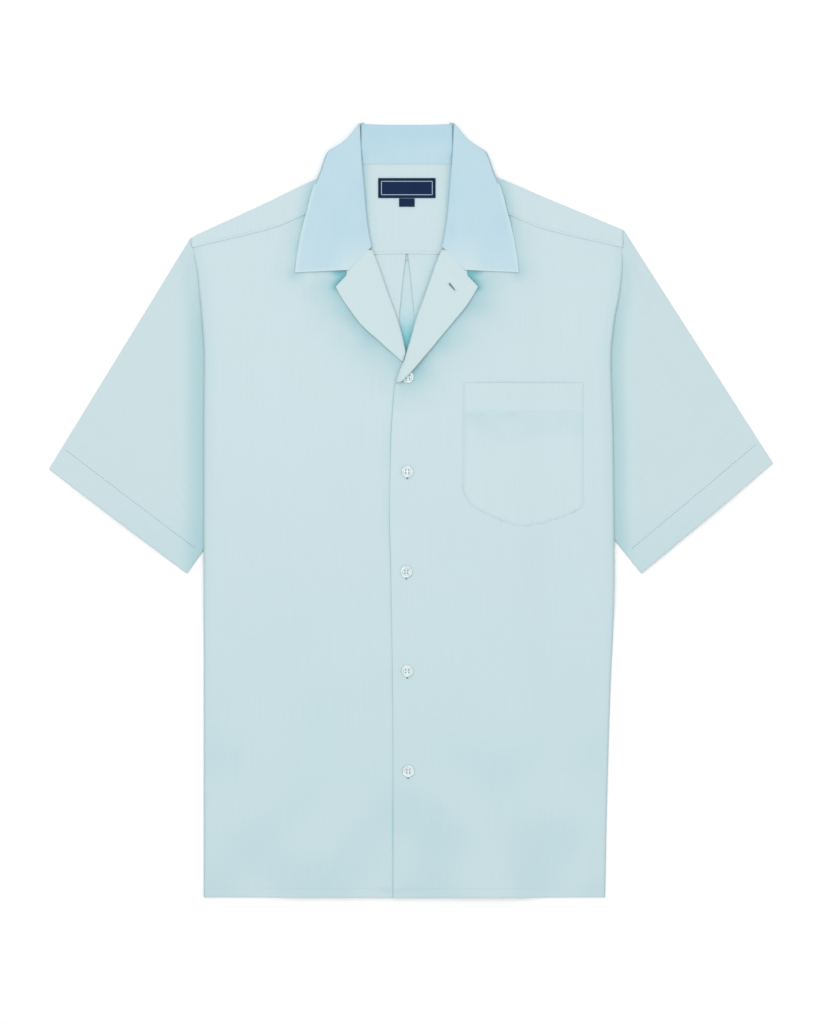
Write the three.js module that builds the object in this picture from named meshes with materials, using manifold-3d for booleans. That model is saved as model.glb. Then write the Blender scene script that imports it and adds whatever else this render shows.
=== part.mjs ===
// A short-sleeved camp shirt laid flat on its back, buttoned, with its one-piece collar and lapels open.
// Millimetres. +X is to the right as the shirt is looked at, +Y runs from hem to collar, +Z is up.
// Tables are in the garment's own frame: x from the button line, y above the hem, both fronts seen alike.
import * as THREE from "three";
import { mergeVertices } from "three/addons/utils/BufferGeometryUtils.js";
import Module from "manifold-3d";

const wasm = await Module();
wasm.setup();

// Driving dimensions.
const CLOTH = 1;
const SEAM = 0.3;
const PITCH = CLOTH + SEAM;
const COLLAR_WALL = 1.4;
const LENGTH = 796;
const BUTTON_RADIUS = 5.75;
const BUTTON_HEIGHT = 2.2;
const BUTTON_HOLE_RADIUS = 0.8;
const BUTTON_HOLE_PLACE = 1.6;
const BUTTON_SIDES = 16;
const PLEAT_HALF = 22;
const PLEAT_OPENING = 12;
const SLEEVE_TUCK = 15;
const ARMHOLE_GAP = 0.7;
const STAND_LIFT = 0.6;
const STAND_HALF = 47;
const STAND_FLAT_HALF = 18;
const FALL_EDGE = 746;
const FALL_INNER = 44;
const FALL_RISE = 8;
const CREASE_LAP = 2;
const LAPEL_ROOT = 3;
const YOKE_HALF = 222;
const YOKE_MIDDLE_HALF = 63;
const YOKE_TUCK = 2;

// How finely bends and panels are stepped.
const ARC_STEPS = 4;
const PLEAT_STEPS = 3;
const STAND_STEPS = 6;
const CREASE_STEPS = 8;
const LAPEL_ACROSS = 6;
const SLEEVE_DOWN = 15;
const SLEEVE_RINGS = 7;
const PATCH_ROWS = 9;

// Levels of the middle of each cloth, from the surface up.
const FLOOR_LEVEL = CLOTH / 2;
const FALL_LEVEL = COLLAR_WALL / 2;
const YOKE_LIFT = COLLAR_WALL + SEAM;
const PLEAT_LIFT = 2 * PITCH;
const RIGHT_LEVEL = FLOOR_LEVEL + 3 * PITCH;
const LEFT_LEVEL = RIGHT_LEVEL + PITCH;
const STAND_BACK_LEVEL = FALL_LEVEL + COLLAR_WALL + SEAM;
const STAND_SIDE_LEVEL = RIGHT_LEVEL + STAND_LIFT;
const LEAF_LEVEL = LEFT_LEVEL + PITCH + SEAM;
const SIDE_LIFT = 2 * PITCH;
const BUTTON_LOFT = BUTTON_HEIGHT + 2 * SEAM;

// Where each soft step of level or width starts and ends.
const STEPS = {
  sleeveInside: { from: 90, to: 25 },
  sleeveUpper: { from: 660, to: 566 },
  sleeveLower: { from: 230, to: 335 },
  overShoulder: { from: 150, to: 110 },
  overPleat: { from: 60, to: 28 },
  overFall: { from: 135, to: 100 },
  overButton: { from: 45, to: 13 },
  frontSway: { from: 60, to: 224 },
  yokeSway: { from: 140, to: 222 },
  underBody: { from: 562, to: 535 },
};

// Half widths of the body at its side seams and armholes, looked at from the front.
const SIDE = [
  { y: 0, left: 209, right: 204 },
  { y: 100, left: 209, right: 206 },
  { y: 200, left: 209, right: 209 },
  { y: 330, left: 209, right: 213.5 },
  { y: 400, left: 209, right: 213 },
  { y: 480, left: 209, right: 212 },
  { y: 555, left: 208.5, right: 210 },
  { y: 595, left: 210.5, right: 213.5 },
  { y: 620, left: 213, right: 218.5 },
  { y: 645, left: 216, right: 221.5 },
  { y: 665, left: 220.5, right: 222.5 },
  { y: 682, left: 224, right: 223 },
];

// The upper edge of a front: its fold line, the neck seam and the seam to the yoke.
const FRONT_TOP = [
  { x: -16, y: 513 },
  { x: -11, y: 520 },
  { x: 1, y: 560 },
  { x: 11, y: 596 },
  { x: 24, y: 631 },
  { x: 37, y: 664 },
  { x: 50, y: 688 },
  { x: 62, y: 716 },
  { x: 102, y: 704 },
  { x: 134, y: 691 },
  { x: 163, y: 683 },
  { x: 224, y: 669 },
];
const NECK_POINT = { x: 62, y: 754 };
const SHOULDER_SLOPE = { left: 0.473, right: 0.42 };
const BACK_SEAM = { middle: 663, drop: 18, half: 215 };
const BACK_NECK = 756;

// The lapels, row by row from the break to the collar: the fold line and the free edge.
const LAPELS = {
  right: [
    { foldX: -10, foldY: 530, edgeX: -4, edgeY: 532 },
    { foldX: -8.5, foldY: 536, edgeX: 3, edgeY: 539 },
    { foldX: -6.5, foldY: 542, edgeX: 9.3, edgeY: 546 },
    { foldX: -1.5, foldY: 553, edgeX: 18, edgeY: 556.5 },
    { foldX: 0.5, foldY: 560, edgeX: 25.8, edgeY: 565.5 },
    { foldX: 5.5, foldY: 577, edgeX: 33, edgeY: 574.5 },
    { foldX: 10.8, foldY: 596, edgeX: 41, edgeY: 584 },
    { foldX: 17, foldY: 613, edgeX: 51, edgeY: 596 },
    { foldX: 23.5, foldY: 631, edgeX: 60, edgeY: 607 },
    { foldX: 29.5, foldY: 648.5, edgeX: 67, edgeY: 617.5 },
    { foldX: 36.5, foldY: 666, edgeX: 73.1, edgeY: 628 },
  ],
  left: [
    { foldX: 0.5, foldY: 560, edgeX: 20.5, edgeY: 565.5 },
    { foldX: 5.5, foldY: 577, edgeX: 30.6, edgeY: 574.3 },
    { foldX: 10.8, foldY: 596, edgeX: 39.6, edgeY: 582 },
    { foldX: 17, foldY: 613, edgeX: 48.5, edgeY: 591 },
    { foldX: 23.5, foldY: 631, edgeX: 57.5, edgeY: 603 },
    { foldX: 29.5, foldY: 648.5, edgeX: 66.4, edgeY: 616 },
    { foldX: 36.5, foldY: 666, edgeX: 73.1, edgeY: 628 },
  ],
};
const LAPEL_HOLE = { x: 47, y: 627.2, length: 10.9, width: 0.8, depth: 4, turn: -48.7 };

// One side of the collar, row by row from the notch up: neck seam, fold line, a middle line, outer edge.
const COLLAR = [
  { neckX: 39.5, neckY: 670.5, foldX: 35.5, foldY: 668.5, midX: 59.5, midY: 645.5, edgeX: 114.3, edgeY: 642 },
  { neckX: 48.3, neckY: 687, foldX: 39, foldY: 685, midX: 63, midY: 668, edgeX: 110, edgeY: 670 },
  { neckX: 58, neckY: 708.5, foldX: 41.5, foldY: 705, midX: 67, midY: 695, edgeX: 102, edgeY: 702 },
  { neckX: 61, neckY: 733, foldX: 43.5, foldY: 730, midX: 69, midY: 722, edgeX: 95, edgeY: 730 },
  { neckX: 61.5, neckY: 751, foldX: 45.5, foldY: 752, midX: 66, midY: 745, edgeX: 89, edgeY: 746 },
  { neckX: 60, neckY: 770, foldX: 46.8, foldY: 770, midX: 62, midY: 765, edgeX: 80, edgeY: 761 },
  { neckX: 56, neckY: 788, foldX: 47.4, foldY: 789, midX: 52, midY: 785, edgeX: 58, edgeY: 781.5 },
];
const CREASE = [
  { x: 45, y: 794 },
  { x: 64, y: 778 },
  { x: 82, y: 762 },
  { x: 89, y: 747 },
];

// The sleeves: where the folded upper edge and the underarm meet the armhole, and the two hem corners.
const SLEEVES = {
  left: { top: 677, underarm: 378, outer: { x: 368.5, y: 441 }, lower: { x: 226, y: 333 } },
  right: { top: 686, underarm: 386, outer: { x: 377, y: 447 }, lower: { x: 241, y: 333 } },
};

// The patch pocket with its uneven rounded foot, and the bare label and tab behind the neck.
const POCKET = { left: 58, right: 181, top: 529 };
const POCKET_FOOT = [
  { x: 58, y: 418 },
  { x: 62, y: 409.5 },
  { x: 69, y: 402.5 },
  { x: 80, y: 396 },
  { x: 93, y: 390 },
  { x: 106, y: 385 },
  { x: 118, y: 382.5 },
  { x: 136, y: 384.5 },
  { x: 150, y: 388.5 },
  { x: 165, y: 393.5 },
  { x: 181, y: 402 },
];
const POCKET_COLUMNS = 14;
const LABEL_COLUMNS = 3;
const LABEL = { half: 29.5, top: 740, bottom: 719.5 };
const TAB = { half: 8, top: 719, bottom: 710.5 };
const BUTTONS = [
  { x: 1, y: 535 },
  { x: 0.5, y: 438 },
  { x: -0.5, y: 335 },
  { x: 0.5, y: 233 },
  { x: 1.5, y: 130 },
];

// Steps softly from 0 to 1.
const smooth = ({ from, to }, value) => {
  const t = Math.min(1, Math.max(0, (value - from) / (to - from)));
  return t * t * (3 - 2 * t);
};

// Looks a value up in a table whose key column rises.
function read(table, key, column, at) {
  let row = 1;
  while (row < table.length - 1 && table[row][key] < at) row += 1;
  const before = table[row - 1];
  const after = table[row];
  const t = Math.min(1, Math.max(0, (at - before[key]) / (after[key] - before[key])));
  return before[column] + t * (after[column] - before[column]);
}

const even = (from, to, count) =>
  Array.from({ length: count }, (_, i) => from + ((to - from) * i) / (count - 1));

// How far the sleeve under the body's edge lifts the body.
function sideLift(side, x, y) {
  const inside = read(SIDE, "y", side, y) - x;
  const along = smooth(STEPS.sleeveUpper, y) * smooth(STEPS.sleeveLower, y);
  return SIDE_LIFT * smooth(STEPS.sleeveInside, inside) * along;
}

// The level of the middle of each panel at a place; x is positive on the panel's own side.
const frontLevel = (side, x, y) => {
  const flat = side === "right" ? LEFT_LEVEL : RIGHT_LEVEL;
  const low = FLOOR_LEVEL + PITCH;
  return low + (flat - low) * smooth(STEPS.overShoulder, x) + sideLift(side, x, y);
};
const backLevel = (side, x, y) =>
  FLOOR_LEVEL + PLEAT_LIFT * smooth(STEPS.overPleat, x) + sideLift(side, x, y);
const yokeLevel = (x) => FLOOR_LEVEL + YOKE_LIFT * smooth(STEPS.overFall, x);
const strapLevel = (x) => {
  const low = FLOOR_LEVEL + PITCH;
  return low + (RIGHT_LEVEL - low) * smooth(STEPS.overShoulder, x);
};

// A closed wall about a grid of middle points; each row has as many points as the next.
function wall(grid, thickness, ring = false) {
  const rows = grid.length;
  const columns = grid[0].length;
  const at = (r, c) => grid[r][ring ? (c + columns) % columns : Math.min(columns - 1, Math.max(0, c))];
  const sides = [[], []];
  for (let r = 0; r < rows; r += 1) {
    for (let c = 0; c < columns; c += 1) {
      const along = at(Math.min(rows - 1, r + 1), c).clone().sub(at(Math.max(0, r - 1), c));
      const across = at(r, c + 1).clone().sub(at(r, c - 1));
      const normal = across.cross(along).normalize();
      sides[0].push(at(r, c).clone().addScaledVector(normal, thickness / 2));
      sides[1].push(at(r, c).clone().addScaledVector(normal, -thickness / 2));
    }
  }
  const count = rows * columns;
  const index = [];
  const quad = (a, b, c, d) => index.push(a, b, c, a, c, d);
  const last = ring ? columns : columns - 1;
  for (let r = 0; r < rows - 1; r += 1) {
    for (let c = 0; c < last; c += 1) {
      const a = r * columns + c;
      const b = r * columns + ((c + 1) % columns);
      quad(a, b, b + columns, a + columns);
      quad(count + a, count + a + columns, count + b + columns, count + b);
    }
  }
  for (let c = 0; c < last; c += 1) {
    const b = (c + 1) % columns;
    const top = (rows - 1) * columns;
    quad(c, count + c, count + b, b);
    quad(top + b, count + top + b, count + top + c, top + c);
  }
  for (let r = 0; r < rows - 1 && !ring; r += 1) {
    const a = r * columns;
    const e = a + columns - 1;
    quad(a + columns, count + a + columns, count + a, a);
    quad(e, count + e, count + e + columns, e + columns);
  }
  const geometry = new THREE.BufferGeometry().setFromPoints([...sides[0], ...sides[1]]);
  geometry.setIndex(index);
  return geometry;
}

// A manifold solid of a closed geometry, turned right side out.
function solid(geometry) {
  const bare = new THREE.BufferGeometry().setAttribute("position", geometry.getAttribute("position"));
  bare.setIndex(geometry.index);
  const merged = mergeVertices(bare, 1e-4);
  const triVerts = new Uint32Array(merged.index.array);
  const vertProperties = merged.attributes.position.array;
  const made = new wasm.Manifold(new wasm.Mesh({ numProp: 3, vertProperties, triVerts }));
  if (made.volume() > 0) return made;
  return new wasm.Manifold(new wasm.Mesh({ numProp: 3, vertProperties, triVerts: triVerts.reverse() }));
}

function fromSolid(made) {
  const mesh = made.getMesh();
  const geometry = new THREE.BufferGeometry();
  geometry.setAttribute("position", new THREE.BufferAttribute(new Float32Array(mesh.vertProperties), 3));
  geometry.setIndex(new THREE.BufferAttribute(new Uint32Array(mesh.triVerts), 1));
  return geometry;
}

const join = (...geometries) => fromSolid(geometries.map(solid).reduce((a, b) => a.add(b)));

// Points of a fold seen end on, from the lower level to the upper one, its crown at the given place.
function fold(place, out, low, high, thickness, steps = ARC_STEPS) {
  const radius = (high - low) / 2;
  const back = radius + thickness / 2;
  return even(-Math.PI / 2, Math.PI / 2, steps + 1).map((angle) => {
    const reach = radius * Math.cos(angle) - back;
    return new THREE.Vector3(
      place.x + out.x * reach,
      place.y + out.y * reach,
      (low + high) / 2 + radius * Math.sin(angle),
    );
  });
}

// The direction out of a fold line at one of its rows, towards the open neck.
function outOf(table, row) {
  const before = table[Math.max(0, row - 1)];
  const after = table[Math.min(table.length - 1, row + 1)];
  const run = new THREE.Vector2(after.foldX - before.foldX, after.foldY - before.foldY).normalize();
  return new THREE.Vector2(-run.y, run.x);
}

const mirrored = (grid, sign) => grid.map((row) => row.map((p) => new THREE.Vector3(sign * p.x, p.y, p.z)));

// The panels' columns, from the button line to the side, and the shares of their height that have rows.
const FRONT_COLUMNS = [-16, -10, 1, 11, 24, 37, 50, 62, 85, 107, 117, 126, 135, 144, 156, 172, 188, 206, 224];
const BACK_COLUMNS = [224, 206, 188, 172, 156, 130, 100, 62, 54, 46, 38, 28];
const YOKE_COLUMNS = [62.3, 72, 86, 102, 110, 118, 126, 134, 142, 155, 175, 200, 222];
const ROWS = [0, 0.15, 0.3, 0.37, 0.42, 0.47, 0.55, 0.65, 0.75, 0.82, 0.86, 0.9, 0.94, 0.97, 1];

// Slides a column to where the body's edge is at that height.
function slide(side, x, y) {
  const edge = read(SIDE, "y", side, y);
  return x + (edge - STEPS.frontSway.to) * smooth(STEPS.frontSway, x);
}

function frontPanel(side) {
  return ROWS.map((share) =>
    FRONT_COLUMNS.map((column) => {
      const y = share * read(FRONT_TOP, "x", "y", column);
      const x = slide(side, column, y);
      return new THREE.Vector3(x, y, frontLevel(side, x, y));
    }),
  );
}

// The lapel's level: it lies on the front and rises over the top button where the left front has one.
function lapelLevel(side, x, y) {
  const away = Math.hypot(x - BUTTONS[0].x, y - BUTTONS[0].y);
  const loft = side === "right" ? BUTTON_LOFT * smooth(STEPS.overButton, away) : 0;
  return frontLevel(side, x, y) + PITCH + loft;
}

function lapelRow(side, row, extra, arcFrom) {
  const { foldX, foldY, edgeX, edgeY } = LAPELS[side][row];
  const out = outOf(LAPELS[side], row);
  const low = frontLevel(side, foldX, foldY) - extra;
  const high = lapelLevel(side, foldX, foldY) + extra;
  const place = { x: foldX + out.x * extra, y: foldY + out.y * extra };
  const bend = fold(place, out, low, high, CLOTH).slice(arcFrom);
  const start = bend.at(-1);
  const flat = even(0, 1, LAPEL_ACROSS + 1).slice(1).map((t) => {
    const x = start.x + t * (edgeX - start.x);
    const y = start.y + t * (edgeY - start.y);
    return new THREE.Vector3(x, y, lapelLevel(side, x, y) + extra);
  });
  const root = new THREE.Vector3(bend[0].x - LAPEL_ROOT * out.x, bend[0].y - LAPEL_ROOT * out.y, low);
  return extra > 0 ? [...bend, ...flat] : [root, ...bend, ...flat];
}

// The buttonhole's slit, through both layers of the left front's lapel.
function lapelHole() {
  const slit = new THREE.BoxGeometry(LAPEL_HOLE.length, LAPEL_HOLE.width, LAPEL_HOLE.depth);
  slit.rotateZ(THREE.MathUtils.degToRad(LAPEL_HOLE.turn));
  return solid(slit.translate(LAPEL_HOLE.x, LAPEL_HOLE.y, LEFT_LEVEL + 2 * PITCH));
}

function front(side) {
  const sign = side === "right" ? 1 : -1;
  const lapel = LAPELS[side].map((_, row) => lapelRow(side, row, 0, 0));
  const made = join(wall(mirrored(frontPanel(side), sign), CLOTH), wall(mirrored(lapel, sign), CLOTH));
  return side === "right" ? fromSolid(solid(made).subtract(lapelHole())) : made;
}

function facing(side) {
  const sign = side === "right" ? 1 : -1;
  const rows = LAPELS[side].map((_, row) => lapelRow(side, row, PITCH, ARC_STEPS / 2));
  const made = wall(mirrored(rows, sign), CLOTH);
  return side === "right" ? fromSolid(solid(made).subtract(lapelHole())) : made;
}

const backSeam = (x) => BACK_SEAM.middle - BACK_SEAM.drop * (x / BACK_SEAM.half) ** 2;

// Half of the back at one height, from its side seam to the middle of the pleat's box.
function backHalf(side, share) {
  const main = BACK_COLUMNS.map((column) => {
    const y = share * backSeam(column);
    const x = slide(side, column, y);
    return new THREE.Vector3(x, y, backLevel(side, x, y));
  });
  const y = share * BACK_SEAM.middle;
  const opening = SEAM + (1 - share) * PLEAT_OPENING;
  const middle = FLOOR_LEVEL + PITCH;
  const high = FLOOR_LEVEL + PLEAT_LIFT;
  const inner = fold({ x: opening, y }, { x: -1, y: 0 }, middle, high, CLOTH, PLEAT_STEPS);
  const outer = fold({ x: PLEAT_HALF, y }, { x: 1, y: 0 }, FLOOR_LEVEL, middle, CLOTH, PLEAT_STEPS);
  return [...main, ...inner.reverse(), ...outer.reverse()];
}

function back() {
  const grid = ROWS.map((share) => {
    const right = backHalf("right", share);
    const left = mirrored([backHalf("left", share)], -1)[0];
    return [...right, ...left.reverse()];
  });
  return wall(grid, CLOTH);
}

const shoulder = (side, x) => Math.min(BACK_NECK, NECK_POINT.y - SHOULDER_SLOPE[side] * (x - NECK_POINT.x));

// One shoulder of the yoke: up the back, over the shoulder fold and down to the seam of the front.
function yokeShoulder(side) {
  const out = new THREE.Vector2(0, 1);
  return YOKE_COLUMNS.map((x) => {
    const low = yokeLevel(x);
    const high = strapLevel(x);
    const crown = fold({ x, y: shoulder(side, x) }, out, low, high, CLOTH);
    const foot = backSeam(x) + SEAM;
    const seam = read(FRONT_TOP, "x", "y", x) + SEAM;
    const first = crown[0].y;
    const behind = even(foot, first, 5).slice(0, -1).map((y) => new THREE.Vector3(x, y, low));
    const before = even(first, seam, 4).slice(1).map((y) => new THREE.Vector3(x, y, high));
    return [...behind, ...crown, ...before].map((p) => {
      const shift = (read(SIDE, "y", side, p.y) - YOKE_HALF) * smooth(STEPS.yokeSway, x);
      return new THREE.Vector3(p.x + shift, p.y, p.z);
    });
  });
}

function yoke() {
  const middle = even(-YOKE_MIDDLE_HALF, YOKE_MIDDLE_HALF, 9).map((x) => {
    const foot = backSeam(x) + SEAM;
    const top = Math.min(BACK_NECK, shoulder("left", Math.abs(x)) - YOKE_TUCK);
    return even(foot, top, 6).map((y) => new THREE.Vector3(x, y, yokeLevel(Math.abs(x))));
  });
  return join(
    wall(middle, CLOTH),
    wall(yokeShoulder("right"), CLOTH),
    wall(mirrored(yokeShoulder("left"), -1), CLOTH),
  );
}

// A sleeve as rings that run down its top layer and back along its under layer.
function sleeve(side) {
  const sign = side === "right" ? 1 : -1;
  const { top, underarm, outer, lower } = SLEEVES[side];
  const low = FLOOR_LEVEL;
  const high = FLOOR_LEVEL + PITCH;
  const rings = even(0, 1, SLEEVE_RINGS).map((t) => {
    const line = even(0, 1, SLEEVE_DOWN).map((v) => {
      const y = top + v * (underarm - top);
      const x = read(SIDE, "y", side, y) + ARMHOLE_GAP - SLEEVE_TUCK * smooth(STEPS.underBody, y);
      const hemX = outer.x + v * (lower.x - outer.x);
      const hemY = outer.y + v * (lower.y - outer.y);
      return new THREE.Vector2(x + t * (hemX - x), y + t * (hemY - y));
    });
    const run = line.at(-1).clone().sub(line.at(-2)).normalize();
    const rise = line[0].clone().sub(line[1]).normalize();
    const under = fold(line.at(-1), run, low, high, CLOTH).reverse();
    const over = fold(line[0], rise, low, high, CLOTH);
    const inner = line.slice(1, -1);
    const upper = inner.map((p) => new THREE.Vector3(p.x, p.y, high));
    const bottom = inner.map((p) => new THREE.Vector3(p.x, p.y, low)).reverse();
    return [...upper, ...under, ...bottom, ...over];
  });
  return wall(mirrored(rings, sign), CLOTH, true);
}

// The back of the collar: up the stand, over the top fold and down the fall behind.
function collarBack() {
  const out = new THREE.Vector2(0, 1);
  return even(-STAND_HALF, STAND_HALF, 13).map((x) => {
    const rise = smooth({ from: STAND_FLAT_HALF, to: STAND_HALF }, Math.abs(x));
    const level = STAND_BACK_LEVEL + rise * (STAND_SIDE_LEVEL - STAND_BACK_LEVEL);
    const bend = fold({ x, y: LENGTH }, out, FALL_LEVEL, level, COLLAR_WALL, STAND_STEPS).reverse();
    const up = even(BACK_NECK + SEAM, bend[0].y, 5).slice(0, -1);
    const down = even(bend.at(-1).y, FALL_EDGE, 4).slice(1);
    const stand = up.map((y) => new THREE.Vector3(x, y, level));
    const fall = down.map((y) => new THREE.Vector3(x, y, FALL_LEVEL));
    return [...stand, ...bend, ...fall];
  });
}

// One side of the collar: from the neck seam over the fold and out to the leaf's edge.
function collarSide() {
  const leaf = (from, to, count) =>
    even(0, 1, count + 1).slice(1).map((t) => {
      const x = from.x + t * (to.x - from.x);
      const y = from.y + t * (to.y - from.y);
      return new THREE.Vector3(x, y, LEAF_LEVEL);
    });
  return COLLAR.map((row, index) => {
    const out = outOf(COLLAR, index);
    const bend = fold({ x: row.foldX, y: row.foldY }, out, STAND_SIDE_LEVEL, LEAF_LEVEL, COLLAR_WALL);
    const middle = { x: row.midX, y: row.midY };
    const edge = { x: row.edgeX, y: row.edgeY };
    const neck = new THREE.Vector3(row.neckX, row.neckY, STAND_SIDE_LEVEL);
    return [neck, ...bend, ...leaf(bend.at(-1), middle, 2), ...leaf(middle, edge, 3)];
  });
}

// The crease where the leaf turns behind the shoulder and becomes the fall, with the fall beside the neck.
function collarCrease() {
  return CREASE.map((place, row) => {
    const before = CREASE[Math.max(0, row - 1)];
    const after = CREASE[Math.min(CREASE.length - 1, row + 1)];
    const run = new THREE.Vector2(after.x - before.x, after.y - before.y).normalize();
    const out = new THREE.Vector2(-run.y, run.x);
    const crown = { x: place.x + out.x, y: place.y + out.y };
    const bend = fold(crown, out, FALL_LEVEL, LEAF_LEVEL, COLLAR_WALL, CREASE_STEPS);
    const end = bend.at(-1);
    const lap = new THREE.Vector3(end.x - CREASE_LAP * out.x, end.y - CREASE_LAP * out.y, LEAF_LEVEL);
    const innerX = Math.min(FALL_INNER, bend[0].x - 2 * CREASE_LAP);
    const innerY = FALL_EDGE + FALL_RISE * (CREASE.length - 1 - row);
    return [new THREE.Vector3(innerX, innerY, FALL_LEVEL), ...bend, lap];
  });
}

function collar() {
  const parts = [wall(collarBack(), COLLAR_WALL)];
  for (const sign of [1, -1]) {
    parts.push(wall(mirrored(collarSide(), sign), COLLAR_WALL));
    parts.push(wall(mirrored(collarCrease(), sign), COLLAR_WALL));
  }
  return join(...parts);
}

// A piece of cloth laid on the left front or the yoke, from that panel's own level.
function patch(x0, x1, columns, top, bottomAt, level) {
  const grid = even(0, 1, PATCH_ROWS).map((t) =>
    even(x0, x1, columns).map((x) => {
      const y = top + t * (bottomAt(x) - top);
      return new THREE.Vector3(x, y, level(x, y) + PITCH);
    }),
  );
  return wall(grid, CLOTH);
}

const pocketFoot = (x) => read(POCKET_FOOT, "x", "y", x);

// Half of a button's section: how far inside its rim and how high each point is.
const BUTTON_SECTION = [
  { inset: BUTTON_RADIUS, z: 0 },
  { inset: 0.6, z: 0 },
  { inset: 0, z: 0.7 },
  { inset: 0, z: 1.5 },
  { inset: 0.7, z: BUTTON_HEIGHT },
  { inset: 1.7, z: BUTTON_HEIGHT - 0.2 },
  { inset: 2.2, z: BUTTON_HEIGHT - 0.7 },
  { inset: BUTTON_RADIUS, z: BUTTON_HEIGHT - 0.7 },
];
const HOLE_SIGNS = [[1, 1], [1, -1], [-1, 1], [-1, -1]];

function button() {
  const profile = BUTTON_SECTION.map(({ inset, z }) => new THREE.Vector2(BUTTON_RADIUS - inset, z));
  let made = solid(new THREE.LatheGeometry(profile, BUTTON_SIDES).rotateX(Math.PI / 2));
  for (const [sx, sy] of HOLE_SIGNS) {
    const hole = new THREE.CylinderGeometry(BUTTON_HOLE_RADIUS, BUTTON_HOLE_RADIUS, 3 * BUTTON_HEIGHT, 6);
    hole.rotateX(Math.PI / 2).translate(sx * BUTTON_HOLE_PLACE, sy * BUTTON_HOLE_PLACE, 0);
    made = made.subtract(solid(hole));
  }
  return fromSolid(made);
}

const cloth = new THREE.MeshStandardMaterial({ color: 0xc8e1e6, roughness: 0.92, metalness: 0 });
const collarCloth = new THREE.MeshStandardMaterial({ color: 0xb8dae6, roughness: 0.92, metalness: 0 });
const labelCloth = new THREE.MeshStandardMaterial({ color: 0x142350, roughness: 0.8, metalness: 0 });
const pearl = new THREE.MeshStandardMaterial({ color: 0xdfe3e0, roughness: 0.3, metalness: 0 });

const shirt = new THREE.Group();

function add(name, geometry, material, place = [0, 0, 0]) {
  const mesh = new THREE.Mesh(geometry, material);
  mesh.name = name;
  mesh.position.set(...place);
  shirt.add(mesh);
}

add("front_left", front("right"), cloth);
add("front_right", front("left"), cloth);
add("back", back(), cloth);
add("yoke", yoke(), cloth);
add("sleeve_left", sleeve("right"), cloth);
add("sleeve_right", sleeve("left"), cloth);
add("collar", collar(), collarCloth);
add("facing_left", facing("right"), cloth);
add("facing_right", facing("left"), cloth);
const leftFrontLevel = (x, y) => frontLevel("right", x, y);
const pocket = patch(POCKET.left, POCKET.right, POCKET_COLUMNS, POCKET.top, pocketFoot, leftFrontLevel);
add("pocket", pocket, cloth);
const inYoke = (x) => yokeLevel(Math.abs(x));
const woven = ({ half, top, bottom }) => patch(-half, half, LABEL_COLUMNS, top, () => bottom, inYoke);
add("label", woven(LABEL), labelCloth);
add("size_tab", woven(TAB), labelCloth);
BUTTONS.forEach(({ x, y }, i) => {
  add("button_" + (i + 1), button(), pearl, [x, y, LEFT_LEVEL + CLOTH / 2 + SEAM]);
});

// The origin is the middle of the shirt on the surface it lies on.
const middle = new THREE.Box3().setFromObject(shirt).getCenter(new THREE.Vector3());
shirt.children.forEach((mesh) => mesh.position.sub(new THREE.Vector3(middle.x, middle.y, 0)));

export default shirt;
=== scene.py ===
"""A camp shirt laid flat: its cloth, sewing and buttons, and the plain studio it lies in."""

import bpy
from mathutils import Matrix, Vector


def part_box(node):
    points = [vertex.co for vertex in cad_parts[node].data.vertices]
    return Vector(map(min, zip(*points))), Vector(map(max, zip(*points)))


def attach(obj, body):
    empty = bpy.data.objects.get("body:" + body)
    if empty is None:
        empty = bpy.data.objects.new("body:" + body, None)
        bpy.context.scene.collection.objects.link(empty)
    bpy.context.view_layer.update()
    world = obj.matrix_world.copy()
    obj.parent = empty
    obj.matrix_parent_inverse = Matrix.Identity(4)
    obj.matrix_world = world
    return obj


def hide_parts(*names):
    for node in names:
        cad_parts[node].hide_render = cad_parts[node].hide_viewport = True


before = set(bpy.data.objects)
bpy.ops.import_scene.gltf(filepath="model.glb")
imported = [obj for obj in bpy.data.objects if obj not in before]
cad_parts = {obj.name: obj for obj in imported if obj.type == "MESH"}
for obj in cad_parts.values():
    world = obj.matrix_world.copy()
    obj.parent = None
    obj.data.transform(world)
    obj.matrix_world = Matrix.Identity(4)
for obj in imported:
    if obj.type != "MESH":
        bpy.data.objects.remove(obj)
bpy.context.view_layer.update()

import logging
import math
from dataclasses import dataclass
from enum import Enum
from functools import partial
from typing import Callable, Sequence

import bmesh
import bpy
from mathutils import Matrix, Vector, noise

log = logging.getLogger("camp_shirt")

MM = 0.001
Rows = list[list[Vector]]
Box = tuple[float, float, float, float]  # left, right, bottom and top
Mesh = bmesh.types.BMesh
Material = bpy.types.Material
Piece = bpy.types.Object
Socket = bpy.types.NodeSocket
UP = Vector((0, 1, 0))
# Maps a place to how much painted shade it gets.
ShadeMap = Callable[[Vector], float]


class Side(Enum):
    """The two halves as the shirt is looked at: RIGHT is its wearer's left and lies on top."""

    LEFT = -1
    RIGHT = 1


def smooth(start: float, end: float, value: float) -> float:
    """Steps softly from 0 at start to 1 at end."""
    share = min(1.0, max(0.0, (value - start) / (end - start)))
    return share * share * (3 - 2 * share)


def bell(away: float, reach: float, power: float = 2) -> float:
    """Returns a share that falls softly from 1 as a distance grows past its reach."""
    return math.exp(-((away / reach) ** power))


def ripple(x: float, y: float, z: float) -> float:
    """Returns smooth noise, about -1 to 1, which is the same on every run."""
    return noise.noise(Vector((x, y, z)))


def spread(start: float, end: float, count: int) -> list[float]:
    """Returns count even steps from start to end, both included."""
    return [start + (end - start) * step / (count - 1) for step in range(count)]


def hump(x: float, y: float, at: tuple[float, float], half: tuple[float, float], turn: float) -> float:
    """Returns the height, from 0 to 1, of a long soft hump turned some degrees from +X."""
    away = Vector((x - at[0], y - at[1]))
    away.rotate(Matrix.Rotation(-math.radians(turn), 2))
    return math.exp(-((away.x / half[0]) ** 2) - (away.y / half[1]) ** 2)


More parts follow.
